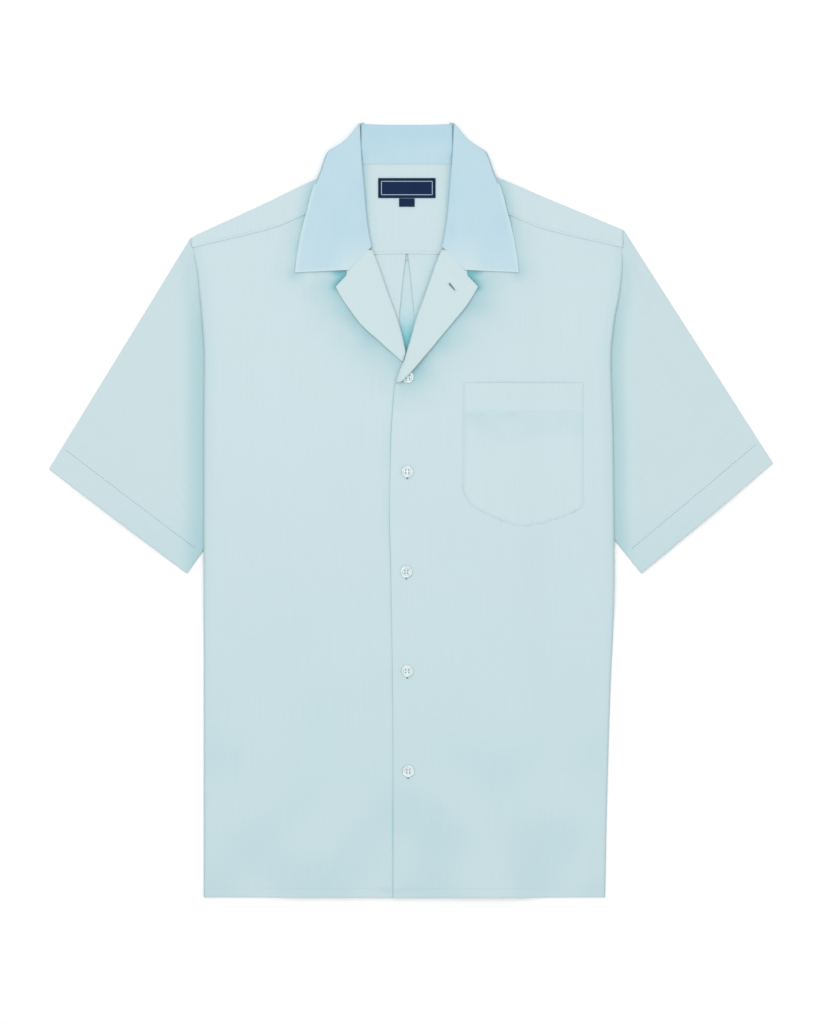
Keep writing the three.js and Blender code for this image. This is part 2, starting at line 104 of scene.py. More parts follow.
@dataclass(frozen=True)
class Table:
    """A short table whose first column rises, read on a smooth curve that never overshoots."""

    columns: tuple[str, ...]
    rows: tuple[tuple[float, ...], ...]

    def at(self, column: str, key: float) -> float:
        """Returns a column's value at a key of the first one, held at its ends beyond the table."""
        place = self.columns.index(column)
        keys = [row[0] for row in self.rows]
        values = [row[place] for row in self.rows]
        key = min(keys[-1], max(keys[0], key))
        step = next(i for i in range(len(keys) - 1) if key <= keys[i + 1])
        slopes = [(values[i + 1] - values[i]) / (keys[i + 1] - keys[i]) for i in range(len(keys) - 1)]

        def tangent(i: int) -> float:
            """Returns the curve's slope at a row."""
            before = slopes[max(0, i - 1)]
            after = slopes[min(len(slopes) - 1, i)]
            if before * after <= 0:
                return 0.0
            return 2 * before * after / (before + after)

        span = keys[step + 1] - keys[step]
        t = (key - keys[step]) / span
        return (
            (2 * t**3 - 3 * t**2 + 1) * values[step]
            + (t**3 - 2 * t**2 + t) * span * tangent(step)
            + (3 * t**2 - 2 * t**3) * values[step + 1]
            + (t**3 - t**2) * span * tangent(step + 1)
        )

    def place(self, kind: str, key: float) -> Vector:
        """Returns the place in plan that two columns named kind_x and kind_y give."""
        return Vector((self.at(f"{kind}_x", key), self.at(f"{kind}_y", key), 0))


@dataclass(frozen=True)
class Form:
    """The laid shirt's own frame, in millimetres: x from the button line, y above the hem.

    The levels are those of the middle of the cloth, one pitch from layer to layer.
    """

    wall: float = 1.0
    seam: float = 0.3
    collar_wall: float = 1.4
    pitch: float = wall + seam
    floor: float = wall / 2
    right_front: float = floor + 3 * pitch
    left_front: float = right_front + pitch
    fall: float = collar_wall / 2
    stand: float = right_front + 0.6
    leaf: float = left_front + pitch + 0.3
    length: float = 796.0
    back_neck: float = 756.0
    neck_x: float = 62.0
    neck_y: float = 754.0
    shoulder_slopes: tuple[float, float] = (0.473, 0.42)
    back_seam: float = 663.0
    back_seam_drop: float = 18.0
    back_seam_half: float = 215.0
    widest: float = 224.0
    sides: Table = Table(
        ("y", "LEFT", "RIGHT"),
        (
            (0, 209, 204), (100, 209, 206), (200, 209, 209), (330, 209, 213.5), (400, 209, 213),
            (480, 209, 212), (555, 208.5, 210), (595, 210.5, 213.5), (620, 213, 218.5),
            (645, 216, 221.5), (665, 220.5, 222.5), (682, 224, 223),
        ),
    )
    front_top: Table = Table(
        ("x", "y"),
        (
            (-16, 527), (-11, 531), (1, 560), (11, 596), (24, 631), (37, 664), (50, 688), (62, 716),
            (102, 704), (134, 691), (163, 683), (224, 669),
        ),
    )
    creases: tuple[tuple[float, float, float, float, float, float], ...] = (
        (-120, 500, 150, 26, 62, 0.9), (-150, 330, 130, 30, 95, 0.7), (-90, 180, 170, 34, 84, 0.8),
        (120, 300, 150, 28, 98, 0.7), (90, 150, 140, 34, 88, 0.8), (150, 560, 110, 22, 118, 0.8),
        (-160, 610, 70, 16, 40, 0.6), (165, 120, 120, 22, 93, 0.5),
    )

    placket_line: Table = Table(
        ("y", "x", "shade"),
        (
            (2, -13.8, 0.5), (70, -13.8, 0.45), (115, -13.8, 0.22), (218, -14.3, 0.16),
            (300, -15.6, 0.2), (345, -16.2, 0.36), (385, -17.3, 0.26), (410, -17.3, 0.12),
            (445, -16.6, 0.16), (476, -15.8, 0.46), (513, -13.4, 0.42), (530, -12.2, 0.2),
            (536, -12.2, 0.0),
        ),
    )

    def edge(self, side: Side, y: float) -> float:
        """Returns how far the body's side edge is from the button line."""
        return self.sides.at(side.name, y)

    def slide(self, side: Side, x: float, y: float) -> float:
        """Returns where a column of the pattern is at a height, as the side edge sways."""
        return x + (self.edge(side, y) - self.widest) * smooth(60, self.widest, x)

    def side_lift(self, side: Side, x: float, y: float) -> float:
        """Returns how far the sleeve under the body's edge lifts the body."""
        inside = self.edge(side, y) - x
        return 2 * self.pitch * smooth(90, 25, inside) * smooth(660, 566, y) * smooth(230, 335, y)

    def loft(self, side: Side, x: float, y: float) -> float:
        """Returns how far the upper cloth stands off in its soft folds."""
        signed = x * side.value
        lift = sum(
            height * hump(signed, y, (cx, cy), (long, wide), turn)
            for cx, cy, long, wide, turn, height in self.creases
        )
        lift += 0.5 + 0.5 * ripple(signed / 60, y / 120, 3.1)
        return lift * smooth(22, 60, x) * smooth(0, 30, self.edge(side, y) - x) * smooth(0, 30, y)

    def front(self, side: Side, x: float, y: float) -> float:
        """Returns the level of the middle of a front."""
        flat = self.left_front if side is Side.RIGHT else self.right_front
        low = self.floor + self.pitch
        return low + (flat - low) * smooth(150, 110, x) + self.side_lift(side, x, y)

    def back(self, side: Side, x: float, y: float) -> float:
        """Returns the level of the middle of the back beside its pleat."""
        return self.floor + 2 * self.pitch * smooth(60, 28, x) + self.side_lift(side, x, y)

    def yoke(self, x: float) -> float:
        """Returns the level of the yoke behind the neck."""
        return self.floor + (self.collar_wall + self.seam) * smooth(135, 100, abs(x))

    def strap(self, x: float) -> float:
        """Returns the level of the yoke in front of the shoulder."""
        return self.floor + self.pitch + (self.right_front - self.floor - self.pitch) * smooth(150, 110, x)

    def shoulder(self, side: Side, x: float) -> float:
        """Returns the height of the shoulder fold, or of the back neck between the shoulders."""
        slope = self.shoulder_slopes[0 if side is Side.LEFT else 1]
        return min(self.back_neck, self.neck_y - slope * (x - self.neck_x))

    def yoke_seam(self, x: float) -> float:
        """Returns the height of the seam between yoke and back."""
        return self.back_seam - self.back_seam_drop * (x / self.back_seam_half) ** 2


FORM = Form()
CENTRE_BUTTON = (0.5, 438.0)


def garment_origin() -> Vector:
    """Returns where the button line meets the hem, in metres, from the second button's place."""
    low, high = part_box("button_2")
    middle = (Vector(low) + Vector(high)) / 2
    return Vector((middle.x - CENTRE_BUTTON[0] * MM, middle.y - CENTRE_BUTTON[1] * MM, 0.0))


ORIGIN = garment_origin()


def metres(point: Vector) -> Vector:
    """Returns a point of the shirt's own frame, in millimetres, as a place in the scene."""
    return ORIGIN + point * MM


@dataclass(frozen=True)
class PaintedShade:
    """Painted shade: how much darker and more teal the cloth is painted beside edges, seams and folds,
    where shade falls, and a darker tone towards the hem.
    """

    @staticmethod
    def line_distance(point: Vector, line: Sequence[tuple[float, float]]) -> float:
        """Returns a place's distance in plan from a line of points."""
        best = math.inf
        here = Vector((point.x, point.y))
        for start, end in zip(line, line[1:]):
            a = Vector(start)
            run = Vector(end) - a
            share = min(1.0, max(0.0, (here - a).dot(run) / run.length_squared))
            best = min(best, (here - a - run * share).length)
        return best

    @classmethod
    def front(cls, side: Side, point: Vector) -> float:
        """Returns the painted shade on a front, deepest beside the lapel, collar and placket and along the
        side edge, with a darker tone towards the hem.
        """
        own = Vector((side.value * point.x, point.y))
        rows = LAPEL_ROWS[side].rows
        lapel = [(row[3], row[4]) for row in rows[1:]]
        notch = [(rows[-1][3], rows[-1][4]), (60, 645), (72, 645)]
        leaf = [(115, 642.5), (110.6, 672), (103.8, 702), (96, 732)]
        depth = 0.0
        if own.y > 500:
            # Painted shade under the lapel's edge, in the collar's notch and beside the leaf.
            uneven = 0.8 + 0.5 * noise.noise(point / 22)
            depth = 0.46 * uneven * bell(cls.line_distance(own, lapel), 20, 1.3)
            depth = max(depth, 0.85 * bell(cls.line_distance(own, notch), 7, 1.5))
            depth = max(depth, 0.4 * uneven * bell(cls.line_distance(own, leaf), 8, 1))
        if side is Side.LEFT and own.y < 540:
            # Painted shadow line and soft painted shade beside the placket's edge.
            beside = (FORM.placket_line.at("x", point.y) - point.x) if own.x < 60 else 60.0
            line = FORM.placket_line.at("shade", point.y) * bell(beside, 1.1)
            shade = (0.07 + 0.14 * ripple(0, point.y / 60, 2)) * bell(beside, 9)
            depth = max(depth, line + max(0.0, shade))
        # Painted shade along the side edge.
        edge = FORM.edge(side, point.y) - own.x
        depth = max(depth, 0.1 * bell(edge, 9))
        # Darker towards the hem.
        cloudy = 0.7 + noise.noise(point / 60)
        low = 0.03 * smooth(600, 300, point.y) + 0.1 * smooth(330, 20, point.y) * cloudy
        depth = max(depth, low)
        # Painted shadow under the slightly raised hem beside the button line.
        crescent = 0.17 * bell(point.y - 7, 4) * smooth(-42, -20, point.x) * smooth(52, 15, point.x)
        return min(1.0, max(0.0, depth, crescent))

    @staticmethod
    def back(point: Vector) -> float:
        """Returns the painted shade inside the neck, deepest low in the opening and in the pleat."""
        if point.z < 0.7 * FORM.wall or (abs(point.x) > 18.5 and point.z < 2 * FORM.pitch):
            return 0.0
        low = smooth(604, 566, point.y) * smooth(520, 545, point.y) * smooth(21, 13, abs(point.x))
        if point.z < FORM.pitch:
            return 0.8 * low + 0.1 * smooth(655, 600, point.y) * smooth(560, 580, point.y)
        pleat = 0.6 * bell(point.x, 1.6) * smooth(600, 655, point.y)
        roll = 0.17 * bell(PaintedShade.line_distance(point, [(33, 655), (24, 631), (10, 596)]), 8)
        return min(1.0, low + pleat + roll)

    @staticmethod
    def yoke(point: Vector) -> float:
        """Returns the painted shade on the yoke, deepest under the roll of the collar."""
        inside = bell(44 - abs(point.x), 5) if point.y < 760 else 0.0
        beside = PaintedShade.line_distance(Vector((abs(point.x), point.y)), [(103.8, 702), (96, 735)])
        leaf = bell(beside, 8) if point.z > 2 * FORM.pitch else 0.0
        return min(1.0, 0.18 * inside + 0.3 * leaf)

    @staticmethod
    def sleeve(point: Vector) -> float:
        """Returns the painted shade on a sleeve, deepest beside the body, with a slightly darker tone low
        on the sleeve.
        """
        side = Side.RIGHT if point.x > 0 else Side.LEFT
        beside = max(0.0, abs(point.x) - FORM.edge(side, point.y))
        wide = 17.0 if side is Side.LEFT else 13.0
        band = 0.28 * bell(beside, wide, 3) * (0.25 + 0.75 * smooth(675, 560, point.y))
        rim = 0.07 * smooth(420, 350, point.y)
        return min(1.0, band + rim)

    @staticmethod
    def collar(point: Vector) -> float:
        """Returns the painted shade on the collar, deepest along its roll and at the top of its leaves,
        lighter low on the leaves, with a painted highlight along the outer edges.
        """
        x = abs(point.x)
        roll = bell(x - 45, 3.5) * smooth(665, 690, point.y)
        stand = smooth(50, 44, x) * smooth(765, 790, point.y)
        pale = smooth(690, 642, point.y) * (0.25 + 0.75 * smooth(85, 60, x))
        cloud = 0.14 * noise.noise(point / 28)
        outer = [(60, 645), (115, 642.5), (110.6, 672), (103.8, 702), (95.5, 732)]
        # Painted highlight: the outer edges are kept light.
        rim = bell(PaintedShade.line_distance(Vector((x, point.y)), outer), 2.2)
        depth = 0.75 + 0.15 * roll + 0.25 * stand - 0.6 * pale + cloud
        return min(1.0, max(0.0, depth * (1 - 0.8 * rim)))

    @staticmethod
    def pocket(point: Vector) -> float:
        """Returns the painted shade on the pocket, deepest just below its hem."""
        below = 500 - point.y
        return 0.07 * smooth(0, 2, below) * bell(max(0.0, below), 26) * (1 + noise.noise(point / 18))


class Topology:
    """Makes meshes from rows of points with bmesh operators."""

    @staticmethod
    def transpose(rows: Rows) -> Rows:
        """Returns the grid with its rows and columns swapped."""
        return [list(column) for column in zip(*rows)]

    @staticmethod
    def mirrored(rows: Rows, side: Side) -> Rows:
        """Returns the grid on the given side of the button line."""
        return [[Vector((side.value * p.x, p.y, p.z)) for p in row] for row in rows]

    @staticmethod
    def turn_under(row: Sequence[Vector], radius: float, under: float) -> list[Vector]:
        """Folds the end of a row of cloth under itself."""
        edge = row[-1]
        out = Vector((edge.x - row[-2].x, edge.y - row[-2].y, 0)).normalized()
        down = Vector((0, 0, -radius))
        centre = edge - out * radius + down
        bend = []
        for angle in map(math.radians, (90, 50, 10, -30, -90)):
            bend.append(centre + out * radius * math.cos(angle) - down * math.sin(angle))
        return [*row[:-1], *bend, bend[-1] - out * under]

    @classmethod
    def turned(cls, rows: Rows, edges: str, radius: float = 0.35, under: float = 5.0) -> Rows:
        """Turns edges of a grid under: e row ends, b row beginnings, l the last row, f the first."""
        for edge, across, back in (("e", 0, 0), ("b", 0, 1), ("l", 1, 0), ("f", 1, 1)):
            if edge in edges:
                lines = cls.transpose(rows) if across else rows
                if back:
                    lines = [cls.turn_under(line[::-1], radius, under)[::-1] for line in lines]
                else:
                    lines = [cls.turn_under(line, radius, under) for line in lines]
                rows = cls.transpose(lines) if across else lines
        return rows

    @staticmethod
    def fold(place: Vector, out: Vector, low: float, high: float, thick: float, steps: int) -> list[Vector]:
        """Returns the points of a fold seen end on, from its lower level to its upper one."""
        radius = (high - low) / 2
        inward = radius + thick / 2
        points = []
        for angle in spread(-math.pi / 2, math.pi / 2, steps + 1):
            reach = radius * math.cos(angle) - inward
            level = (low + high) / 2 + radius * math.sin(angle)
            points.append(Vector((place.x + out.x * reach, place.y + out.y * reach, level)))
        return points

    @staticmethod
    def add_grid(
        mesh: Mesh, rows: Rows, grain: float, ring: bool = False, shade_map: ShadeMap | None = None
    ) -> None:
        """Adds a grid of cloth, its warp turned grain degrees from +Y and the painted shade of each vertex
        stored on it.
        """
        if ring:
            rows = [[*row, row[0]] for row in rows]
        across = len(rows[0]) - 1
        down = len(rows) - 1
        uv = mesh.loops.layers.uv.verify()
        depth = mesh.verts.layers.float.get("depth") or mesh.verts.layers.float.new("depth")
        made = bmesh.ops.create_grid(mesh, x_segments=across, y_segments=down, size=0.5)
        verts = made["verts"]
        weave = {}
        turn = Matrix.Rotation(-math.radians(grain), 2)
        for vert in verts:
            column = round((vert.co.x + 0.5) * across)
            row = round((vert.co.y + 0.5) * down)
            point = rows[row][column]
            weave[vert] = turn @ Vector((point.x * MM, point.y * MM))
            vert[depth] = shade_map(point) if shade_map else 0.0
            vert.co = metres(point)
        for face in {face for vert in verts for face in vert.link_faces}:
            face.smooth = True
            for loop in face.loops:
                loop[uv].uv = weave[loop.vert]
        if ring:
            bmesh.ops.remove_doubles(mesh, verts=verts, dist=1e-6)


def place_in_scene(name: str, data: bpy.types.ID) -> Piece:
    """Makes an object of its data and links it to the scene."""
    made = bpy.data.objects.new(name, data)
    bpy.context.scene.collection.objects.link(made)
    return made


def mesh_object(name: str, mesh: Mesh, material: Material) -> Piece:
    """Turns a bmesh, in metres and at its place, into an object, and frees it."""
    data = bpy.data.meshes.new(name)
    mesh.to_mesh(data)
    mesh.free()
    data.materials.append(material)
    return place_in_scene(name, data)


def finish_piece(name: str, mesh: Mesh, material: Material) -> Piece:
    """Turns a bmesh into a piece that rides on the shirt's one body."""
    piece = mesh_object(name, mesh, material)
    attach(piece, "root")
    log.info("%s: %d faces", name, len(piece.data.polygons))
    return piece


def cloth_piece(
    name: str,
    grids: Sequence[Rows],
    material: Material,
    grain: float = 0.0,
    thick: float = 0.5,
    ring: bool = False,
    shade_map: ShadeMap | None = None,
) -> Piece:
    """Makes one piece of cloth from its grids and gives it its thickness."""
    mesh = bmesh.new()
    for rows in grids:
        Topology.add_grid(mesh, rows, grain, ring, shade_map)
    piece = finish_piece(name, mesh, material)
    solid = piece.modifiers.new("cloth", "SOLIDIFY")
    solid.thickness = thick * MM
    solid.offset = 0.0
    return piece


def feed(tree: bpy.types.NodeTree, node: bpy.types.Node, **inputs: object) -> bpy.types.Node:
    """Feeds a node's inputs, named with _ for a space, from sockets or with plain values."""
    for name, value in inputs.items():
        socket = node.inputs[name.replace("_", " ")]
        if isinstance(value, Socket):
            tree.links.new(value, socket)
        else:
            socket.default_value = value
    return node


def new_finish(name: str) -> tuple[Material, bpy.types.NodeTree, bpy.types.Node]:
    """Returns a new material, its node tree and its shader."""
    made = bpy.data.materials.new(name)
    made.use_nodes = True
    return made, made.node_tree, made.node_tree.nodes["Principled BSDF"]


class WeaveGroup:
    """The shader node group that every cloth of the shirt shares."""

    inputs = {"Cloth": "Vector", "Slub": "Float", "Tint": "Color", "Deep": "Color", "Depth": "Float"}
    outputs = {"Colour": "Color", "Height": "Float"}
    warp = (620.0, 18.0, 1.0)
    weft = (14.0, 560.0, 1.0)
    fine = (1500.0, 1500.0, 1.0)
    blotch = (9.0, 5.0, 1.0)

    def __init__(self) -> None:
        """Builds the group once."""
        self.tree = bpy.data.node_groups.new("linen_weave", "ShaderNodeTree")
        for way, sockets in (("INPUT", self.inputs), ("OUTPUT", self.outputs)):
            for name, kind in sockets.items():
                self.tree.interface.new_socket(name, in_out=way, socket_type=f"NodeSocket{kind}")
        self.build()

    def threads(self, cloth: Socket, scale: tuple[float, float, float], detail: float = 2.0) -> Socket:
        """Returns a noise stretched along one set of threads, from its repeats per metre."""
        nodes = self.tree.nodes
        mapping = feed(self.tree, nodes.new("ShaderNodeMapping"), Vector=cloth, Scale=scale)
        place = mapping.outputs["Vector"]
        grain = nodes.new("ShaderNodeTexNoise")
        return feed(self.tree, grain, Vector=place, Scale=1.0, Detail=detail, Roughness=0.6).outputs["Fac"]

    def math(self, operation: str, *values: object) -> Socket:
        """Adds a math node fed by sockets or numbers and returns its result."""
        made = self.tree.nodes.new("ShaderNodeMath")
        made.operation = operation
        for socket, value in zip(made.inputs, values):
            if isinstance(value, Socket):
                self.tree.links.new(value, socket)
            else:
                socket.default_value = value
        return made.outputs[0]

    def build(self) -> None:
        """Wires slubs, thread relief and soft blotches to the group's outputs, and mixes the painted shade
        colour into the cloth's colour.
        """
        nodes, links = self.tree.nodes, self.tree.links
        ends = nodes.new("NodeGroupInput").outputs
        warp, weft = (self.threads(ends["Cloth"], scale) for scale in (self.warp, self.weft))
        fine = self.threads(ends["Cloth"], self.fine, 1.0)
        blotch = self.threads(ends["Cloth"], self.blotch)
        streak = self.math("ADD", self.math("MULTIPLY", warp, 0.7), self.math("MULTIPLY", weft, 0.3))
        centred = self.math("SUBTRACT", streak, 0.5)
        patch = self.math("MULTIPLY", self.math("SUBTRACT", blotch, 0.5), 0.35)
        shade = self.math("MULTIPLY", self.math("ADD", centred, patch), ends["Slub"])
        # Mix the cloth's colour towards its painted shade colour by the painted shade amount.
        mixed = nodes.new("ShaderNodeMix")
        mixed.data_type = "RGBA"
        for name, place in (("Depth", 0), ("Tint", 6), ("Deep", 7)):
            links.new(ends[name], mixed.inputs[place])
        tint = nodes.new("ShaderNodeVectorMath")
        tint.operation = "SCALE"
        links.new(mixed.outputs[2], tint.inputs[0])
        feed(self.tree, tint, Scale=self.math("ADD", shade, 1.0))
        height = self.math("ADD", self.math("MULTIPLY", fine, 0.5), streak)
        feed(self.tree, nodes.new("NodeGroupOutput"), Colour=tint.outputs["Vector"], Height=height)


@dataclass(frozen=True)
class Linen:
    """A woven finish: its colour, how slubby it is, how deep its weave and the colour of its painted shade.
    """

    name: str
    colour: tuple[float, float, float]
    slub: float = 0.075
    relief: float = 0.25
    thread_depth: float = 0.0003
    roughness: float = 0.88
    sheen: float = 0.12
    specular: float = 0.25
    deep: tuple[float, float, float] = (0.15, 0.6, 0.65)

    def material(self, weave: WeaveGroup) -> Material:
        """Returns the finish as a material on the shared weave group."""
        made, tree, shader = new_finish(self.name)
        place = tree.nodes.new("ShaderNodeUVMap").outputs["UV"]
        depth = tree.nodes.new("ShaderNodeAttribute")
        depth.attribute_name = "depth"
        group = tree.nodes.new("ShaderNodeGroup")
        group.node_tree = weave.tree
        # The painted shade colour, as a share of the cloth's colour.
        dark = (*(c * d for c, d in zip(self.colour, self.deep)), 1.0)
        tint = (*self.colour, 1.0)
        feed(tree, group, Cloth=place, Slub=self.slub, Tint=tint, Deep=dark, Depth=depth.outputs["Fac"])
        bump = tree.nodes.new("ShaderNodeBump")
        feed(tree, bump, Strength=self.relief, Distance=self.thread_depth, Height=group.outputs["Height"])
        feed(tree, shader, Base_Color=group.outputs["Colour"], Normal=bump.outputs["Normal"])
        feed(tree, shader, Roughness=self.roughness, Specular_IOR_Level=self.specular)
        feed(tree, shader, Sheen_Weight=self.sheen)
        return made


@dataclass(frozen=True)
class Pearl:
    """The buttons' finish: pale shell with a faint cloudy grain and a clear gloss."""

    name: str = "pearl_button"
    light: tuple[float, float, float, float] = (0.92, 0.97, 0.97, 1.0)
    dark: tuple[float, float, float, float] = (0.5, 0.62, 0.65, 1.0)
    roughness: float = 0.22
    coat: float = 0.5

    def material(self) -> Material:
        """Returns the material."""
        made, tree, shader = new_finish(self.name)
        cloud = tree.nodes.new("ShaderNodeTexNoise")
        place = tree.nodes.new("ShaderNodeTexCoord").outputs["Object"]
        feed(tree, cloud, Vector=place, Scale=260.0, Detail=3.0, Distortion=1.2)
        ramp = tree.nodes.new("ShaderNodeValToRGB")
        for stop, position, colour in zip(ramp.color_ramp.elements, (0.3, 0.7), (self.dark, self.light)):
            stop.position, stop.color = position, colour
        feed(tree, ramp, Fac=cloud.outputs["Fac"])
        feed(tree, shader, Base_Color=ramp.outputs["Color"])
        feed(tree, shader, Roughness=self.roughness, Coat_Weight=self.coat)
        return made


class Finishes:
    """Every finish of the shirt, made once."""

    def __init__(self) -> None:
        """Makes the finishes."""
        weave = WeaveGroup()
        aqua = (0.577, 0.711, 0.746)
        # Painted shade colours: teal for the back inside the neck, bluer for the collar.
        back_shade_colour = (0.24, 0.86, 0.9)
        collar_shade_colour = (0.75, 0.88, 0.97)
        self.cloth = Linen("aqua_linen", aqua).material(weave)
        self.sleeve = Linen("aqua_linen_sleeve", (0.565, 0.7, 0.732)).material(weave)
        self.back = Linen("aqua_linen_back", aqua, deep=back_shade_colour).material(weave)
        self.collar = Linen("aqua_linen_collar", (0.6, 0.737, 0.77), slub=0.06, deep=collar_shade_colour).material(weave)
        self.facing = Linen("aqua_linen_facing", (0.588, 0.72, 0.75), slub=0.06).material(weave)
        satin = {"slub": 0.4, "roughness": 0.7, "sheen": 0.0, "specular": 0.12}
        self.label = Linen("navy_satin_label", (0.005, 0.02, 0.066), **satin).material(weave)
        pale = (0.42, 0.5, 0.62)
        self.label_line = Linen("pale_label_thread", pale, slub=0.2, specular=0.1).material(weave)
        self.thread = Linen("aqua_thread", (0.42, 0.6, 0.67), slub=0.1, roughness=0.7).material(weave)
        self.dark_thread = Linen("shaded_thread", (0.2, 0.4, 0.47), slub=0.1, roughness=0.8).material(weave)
        self.slit = Linen("buttonhole_shade", (0.02, 0.09, 0.13), slub=0.2, sheen=0.0).material(weave)
        self.pearl = Pearl().material()


@dataclass
class Body:
    """The two fronts and the back."""

    finishes: Finishes
    raise_mm: float = 0.2
    placket: float = 16.0
    pleat_half: float = 22.0
    roll_radius: float = 5.0
    ply: float = 0.35
    middle_y: float = 300.0
    fine_columns: int = 74
    fine_rows: int = 150

    def front_height(self, side: Side, x: float, y: float) -> float:
        """Returns the level of a front's cloth with its folds, hem and seam puckers."""
        level = FORM.front(side, x, y) + self.raise_mm + FORM.loft(side, x, y)
        top = FORM.front_top.at("y", x)
        pucker = 0.3 * ripple(x / 7.0, 1.7, side.value) * smooth(24, 4, top - y)
        hem = 0.25 * ripple(x / 9.0, 4.2, side.value) * smooth(26, 8, y)
        edge = FORM.edge(side, y) - x
        outwards = 1 - min(1.0, max(0.0, edge) / self.roll_radius)
        roll = -0.7 * (1 - math.sqrt(max(0.0, 1 - outwards**2))) * smooth(600, 560, y)
        ridge = 0.5 * smooth(10, 3, edge) * smooth(560, 600, y)
        swell = 1.1 * smooth(60, 20, edge) * smooth(0, 14, edge) * smooth(640, 540, y) * smooth(250, 330, y)
        level += (pucker + hem) * smooth(30, 60, x) + roll + ridge + swell
        sewn = smooth(20, 2, top - y) * smooth(57, 66, x)
        return level + (FORM.strap(x) - 0.35 - level) * sewn

    def front_place(self, side: Side, column: float, share: float) -> Vector:
        """Returns a place of a front, in a column of its pattern and a share of the way up."""
        y = share * FORM.front_top.at("y", column)
        x = FORM.slide(side, column, y)
        if side is Side.RIGHT:
            x += (FORM.placket_line.at("x", y) + self.placket) * smooth(-2, -self.placket, column)
        return Vector((x, y, self.front_height(side, x, y)))

    def front_rows(self, side: Side) -> Rows:
        """Returns a front's grid, from hem to top, with its placket and hem turned under."""
        overlap = [-self.placket, *spread(-12, 8, 7), *spread(10, 21, 14), *spread(24, 62, 12)]
        columns = [*overlap, *spread(66, FORM.widest, self.fine_columns - 23)]
        shares = [0.0, 0.004, 0.012, *spread(0.02, 0.9, self.fine_rows - 30), *spread(0.905, 1.0, 27)]
        rows = [[self.front_place(side, column, share) for column in columns] for share in shares]
        for reach in (1.0, 3.0):
            row = []
            for point, column in zip(rows[-1], columns):
                y = FORM.front_top.at("y", column) + reach * (0.01 + smooth(57, 66, column))
                row.append(Vector((point.x, y, point.z)))
            rows.append(row)
        return Topology.turned(rows, "bf")

    def back_half(self, side: Side, share: float) -> list[Vector]:
        """Returns half of a row of the back, from the side edge to the middle of the pleat's box."""
        columns = [*spread(FORM.widest, 66, 24), 62, 58, 54, 50, 46, 42, 38, 34, 30]
        row = []
        for column in columns:
            y = share * FORM.yoke_seam(column)
            x = FORM.slide(side, column, y)
            row.append(Vector((x, y, FORM.back(side, x, y))))
        y = share * FORM.back_seam
        opening = self.pleat_opening(FORM.back_seam - y)
        low, middle, high = (FORM.floor + layer * FORM.pitch for layer in range(3))
        right = Vector((1, 0, 0))
        inner = Topology.fold(Vector((opening, y, 0)), -right, middle, high, FORM.wall, 4)
        outer = Topology.fold(Vector((self.pleat_half, y, 0)), right, low, middle, FORM.wall, 4)
        lead = [Vector((x, y, high)) for x in spread(28, opening + 2, 5)]
        return [*row, *lead, *inner[::-1], *outer[::-1]]

    def box_rows(self) -> Rows:
        """Returns the grid of the pleat's upper ply, which shows low in the neck opening."""
        level = FORM.floor + self.ply
        return [[Vector((x, y, level)) for x in spread(18, -18, 9)] for y in spread(500, 656, 40)]

    @staticmethod
    def pleat_opening(below: float) -> float:
        """Returns how far the pleat's fold stands from its middle at a distance below the yoke."""
        return 0.3 + 16.0 * (1 - bell(below, 110.0, 1))

    def back_rows(self) -> Rows:
        """Returns the back's grid, from hem to yoke."""
        rows = []
        for share in [0.0, 0.006, *spread(0.015, 1.0, 90)]:
            right = self.back_half(Side.RIGHT, share)
            left = Topology.mirrored([self.back_half(Side.LEFT, share)], Side.LEFT)[0]
            rows.append([*right, *left[::-1]])
        for point in (point for row in rows for point in row):
            point.z *= 1 - 0.5 * smooth(7, 2, FORM.yoke_seam(point.x) - point.y)
        rows.append([Vector((p.x, p.y + 2.5, p.z)) for p in rows[-1]])
        return rows

    def build(self) -> None:
        """Makes the fronts and the back."""
        for side, name in ((Side.RIGHT, "front_left"), (Side.LEFT, "front_right")):
            rows = Topology.mirrored(self.front_rows(side), side)
            lapel = Lapel(self.finishes, side).layer()
            shade_map = partial(PaintedShade.front, side)
            piece = cloth_piece(f"{name}_cloth", [rows, lapel], self.finishes.cloth, shade_map=shade_map)
            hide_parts(name)
            width = self.placket + FORM.edge(side, self.middle_y)
        grids = [self.back_rows(), self.box_rows()]
        piece = cloth_piece("back_cloth", grids, self.finishes.back, shade_map=PaintedShade.back)
        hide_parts("back")


LAPEL_COLUMNS = ("row", "fold_x", "fold_y", "edge_x", "edge_y")
LAPEL_ROWS = {
    Side.RIGHT: Table(
        LAPEL_COLUMNS,
        (
            (0, -10, 530, -4, 532), (1, -8.5, 536, 3, 539), (2, -6.5, 542, 9.3, 546),
            (3, -1.5, 553, 18, 556.5), (4, 0.5, 560, 25.8, 565.5), (5, 5.5, 577, 33, 574.5),
            (6, 10.8, 596, 41, 584), (7, 17, 613, 51, 596), (8, 23.5, 631, 60, 607),
            (9, 29.5, 648.5, 67, 617.5), (10, 36.5, 666, 73.1, 628),
        ),
    ),
    Side.LEFT: Table(
        LAPEL_COLUMNS,
        (
            (1.5, 4.2, 551.6, 5.2, 551.4), (2.5, 3.4, 555, 12, 557.5), (4, 2.2, 561, 21.6, 566),
            (5, 5.5, 577, 30.6, 574.3), (6, 10.8, 596, 39.6, 582), (7, 17, 613, 48.5, 591),
            (8, 23.5, 631, 57.5, 603), (9, 29.5, 648.5, 66.4, 616), (10, 36.5, 666, 73.1, 628),
        ),
    ),
}


